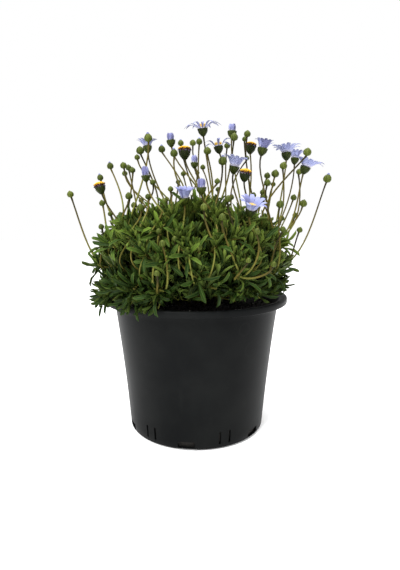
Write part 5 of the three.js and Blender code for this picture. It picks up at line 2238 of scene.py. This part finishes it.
@dataclass
class Bloom:
    """The blue rays and the yellow disc of one head."""

    head: Head
    number: int
    masters: Masters
    florets: int = 92
    withered_rays: int = 13
    shut_spread: float = 0.3
    flat_spread: float = 1.3
    fading_reach: float = 11.2
    shut_tones: tuple[float, float] = (0.24, 0.5)
    opening_tones: tuple[float, float] = (0.3, 0.7)
    open_tones: tuple[float, float] = (0.4, 0.85)

    def build(self, petal: Material, floret: Material) -> list[Object]:
        """Build the head's rays and disc, each for its own node."""
        self.dice = Dice(400 + self.number)
        pieces = []
        if self.head.petal:
            piece = self.rays().to_piece(f"blue_rays_{self.number:02d}", [petal])
            pieces.append(dress(piece, "petals", f"petals_{self.number:02d}"))
        if self.head.kind is not Kind.OPENING:
            piece = self.disc().to_piece(f"floret_disc_{self.number:02d}", [floret, petal])
            pieces.append(dress(piece, "disc", f"disc_{self.number:02d}"))
        return pieces

    def rays(self) -> Shape:
        """Lay the rays round the hub, with the hub itself under them."""
        head = self.head
        is_open = head.kind is Kind.OPEN
        is_shut = head.spread < self.shut_spread
        is_fading = is_open and head.petal < self.fading_reach
        tones = self.shut_tones if is_shut else self.open_tones if is_open else self.opening_tones
        count = BLADE.petal_count
        controls, across, tone = [], [], []
        for i in range(0, count, 2 if is_fading else 1):
            spread = head.spread * self.dice.between(0.93, 1.07) + self.dice.between(-0.04, 0.04)
            reach = head.petal * self.dice.between(0.92, 1.06)
            paths, outs = head.petal_paths(count, spread, reach)
            root, bend, tip = paths[i]
            out = outs[i]
            if not is_open and i % 2:
                root = root - out * 0.35
            if is_shut:
                bend = root + head.axis * (reach * 0.62) - out * (reach * 0.02)
                tip = root + head.axis * (reach * self.dice.between(0.86, 1.0))
                tip = tip - out * (head.hub_radius * 0.35)
            else:
                flare = self.dice.between(0.06, 0.2) + (0.2 if is_fading else 0.0)
                tip = tip + (out - head.axis * 1.1) * (reach * flare)
            controls.append([root - head.axis * 0.4, root + (bend - root) * 0.45, bend, tip])
            across.append(cross(out, head.axis))
            tone.append(self.dice.between(*tones))
        curves = through(np.array(controls), (0.3, 0.66 if is_shut else 0.6))
        half = max(1.5, head.radius * 0.37)
        if is_open:
            half = BLADE.petal_half * (0.7 if is_fading or head.spread > self.flat_spread else 1.12)
        roll = self.dice.row(len(controls), -0.25, 0.25) * (0.3 if is_shut else 1.0)
        rays = self.masters.petal.lay(curves, across, half, tone, 0, roll)
        low, high = head.hub_point(-0.2), head.hub_point(BLADE.hub_thickness)
        hub = self.masters.core.lay([straight(low, high)], head.side[None], head.hub_radius, 0.9)
        return Shape.joined([rays, hub])

    def disc(self) -> Shape:
        """Lay florets in a spiral over the disc's dome, with withered rays round a spent one."""
        head = self.head
        spent = head.kind is Kind.SPENT
        radius = head.radius * BLADE.spent_share if spent else BLADE.hub_radius * BLADE.disc_share
        rise = BLADE.spent_rise if spent else BLADE.disc_rise
        base = head.hub_point(0.0 if spent else BLADE.hub_thickness + BLADE.seat_gap)
        core_line = [straight(base, base + head.axis * (rise * 0.95))]
        t = self.masters.core.points[:, 1]
        core_radius = radius * np.sqrt(np.clip(1 - (0.9 * t) ** 2, 0, 1)) * 0.97
        core_tone = 0.8 if spent else 0.2
        shapes = [self.masters.core.lay(core_line, head.side[None], core_radius[None], core_tone)]
        groups: dict[bool, list] = {True: [], False: []}
        for i in range(self.florets):
            share = math.sqrt((i + 0.6) / self.florets)
            out = around(head.axis, head.side, i * GOLDEN_ANGLE)
            dome = math.sqrt(1 - (0.9 * share) ** 2)
            foot = base + out * (radius * share * 0.94) + head.axis * (rise * dome - 0.5)
            way = unit(head.axis + out * (1.1 * share**2))
            blown = share > 0.6 and not spent
            tone = self.dice.between(0.12, 0.34) if spent else self.dice.between(0.02, 0.16)
            if spent and share > 0.9:
                tone = self.dice.between(0.5, 0.9)
            groups[blown].append((foot, way, square(out, way), tone))
        for blown, rows in groups.items():
            if not rows:
                continue
            tall = 1.5 if blown else 1.9 if spent else 1.25
            controls = np.array([straight(foot, foot + way * tall) for foot, way, _, _ in rows])
            across = np.array([side for _, _, side, _ in rows])
            tones = np.array([tone for _, _, _, tone in rows])
            wide = 0.092 * radius if blown else 0.105 * radius
            master = self.masters.star if blown else self.masters.floret
            shapes.append(master.lay(controls, across, wide, tones))
        if spent:
            shapes.append(self.withered(base, radius))
        return Shape.joined(shapes)

    def withered(self, base: Array, radius: float) -> Shape:
        """Lay shrivelled rays, rolled back round the rim of a spent disc."""
        head = self.head
        controls, across, tone = [], [], []
        for i in range(self.withered_rays):
            turn = i / self.withered_rays * TURN + self.dice.between(-0.2, 0.2)
            out = around(head.axis, head.side, turn)
            drop = self.dice.between(-0.4, 0.8)
            root = base + out * (radius * 0.86)
            far = base + out * (radius + 0.4 + self.dice.between(0, 0.5)) + head.axis * (0.7 + drop)
            end = far + out * self.dice.between(-0.5, 0.3) - head.axis * self.dice.between(1.2, 2.8)
            controls.append([root, root + out * 0.9 + head.axis * 0.6, far, end])
            across.append(cross(out, head.axis))
            tone.append(0.3 if i % 5 == 0 else self.dice.between(0.0, 0.08))
        roll = self.dice.row(len(controls), -2.0, 2.0)
        return self.masters.petal.lay(controls, across, 0.62, tone, 1, roll)


@dataclass
class Studio:
    """The floor, the light and the camera."""

    distance: float = 421.0
    eye: float = 201.0
    tilt: float = 8.43
    pan: float = 0.465
    focal: float = 431.0
    picture_height: float = 570.0
    sensor: float = 24.0
    floor_glow: float = 0.15

    def build(self) -> None:
        """Set up the floor, the lights and the camera."""
        self.floor()
        self.lights()
        self.camera()

    def floor(self) -> None:
        """Lay a plain pale floor."""
        Bench.clear()
        bpy.ops.mesh.primitive_plane_add(size=8.0)
        floor = bpy.context.object
        floor.name = "floor"
        sheet = Sheet("floor_paint")
        sheet.feed(sheet.shader.inputs["Emission Color"], (1.0, 1.0, 1.0))
        sheet.feed(sheet.shader.inputs["Emission Strength"], self.floor_glow)
        floor.data.materials.append(sheet.finish((0.93, 0.93, 0.93), 0.9))

    def lights(self) -> None:
        """Hang soft lights, and a pale sky all round."""
        world = bpy.data.worlds.new("studio")
        bpy.context.scene.world = world
        world.use_nodes = True
        sky = world.node_tree.nodes["Background"]
        sky.inputs["Color"].default_value = (1.0, 1.0, 1.0, 1.0)
        sky.inputs["Strength"].default_value = 1.0
        self.lamp("key", (-0.8, -1.2, 1.7), 0.8, 55.0)
        self.lamp("top", (0.15, 0.2, 1.9), 1.0, 30.0)
        view = bpy.context.scene.view_settings
        view.view_transform = "Standard"
        view.look = "None"

    @staticmethod
    def lamp(name: str, place: tuple[float, float, float], size: float, power: float) -> None:
        """Hang a square lamp that faces the plant."""
        data = bpy.data.lights.new(name, "AREA")
        data.size = size
        data.energy = power
        lamp = bpy.data.objects.new(name, data)
        lamp.location = place
        aim = Vector((0, 0, 0.15)) - Vector(place)
        lamp.rotation_euler = aim.to_track_quat("-Z", "Y").to_euler()
        bpy.context.scene.collection.objects.link(lamp)

    def camera(self) -> None:
        """Stand the camera at the photograph's viewing angle."""
        data = bpy.data.cameras.new("camera")
        camera = bpy.data.objects.new("camera", data)
        camera.location = (0, -self.distance * MM, self.eye * MM)
        camera.rotation_euler = (math.radians(90 - self.tilt), 0, -math.radians(self.pan))
        data.sensor_fit = "VERTICAL"
        data.sensor_height = self.sensor
        data.lens = self.focal / self.picture_height * self.sensor
        bpy.context.scene.collection.objects.link(camera)
        bpy.context.scene.camera = camera


def corners(box: tuple) -> list[list[float]]:
    """Return a box's two corners as plain lists."""
    return [[float(number) for number in corner] for corner in box]


def main() -> None:
    """Build the whole plant and its studio around the fixed frame."""
    logging.basicConfig(level=logging.INFO, format="%(message)s")
    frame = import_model()
    log.info("nodes in the frame: %d", len(frame["nodes"]))
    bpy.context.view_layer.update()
    Bench.clear()
    Studio().build()
    leaf, stalk = LeafFinish().build(), StalkFinish().build()
    bract, petal = BractFinish().build(), PetalFinish().build()
    floret, plastic = FloretFinish().build(), PlasticFinish().build()
    soil, grit = SoilFinish().build(), GritFinish().build()
    NurseryPot().build(plastic)
    SoilBed().build(soil, grit)
    masters = Masters.model()
    plan = Plan()
    for index, stem in enumerate(plan.stems):
        LeafyStem(stem, index, masters).build([leaf, stalk, bract, petal])
    blooms = [head for head in plan.heads if head.kind not in (Kind.BUD, Kind.TIPPED)]
    for number, head in enumerate(blooms, 1):
        Bloom(head, number, masters).build(petal, floret)


if __name__ == "__main__":
    main()
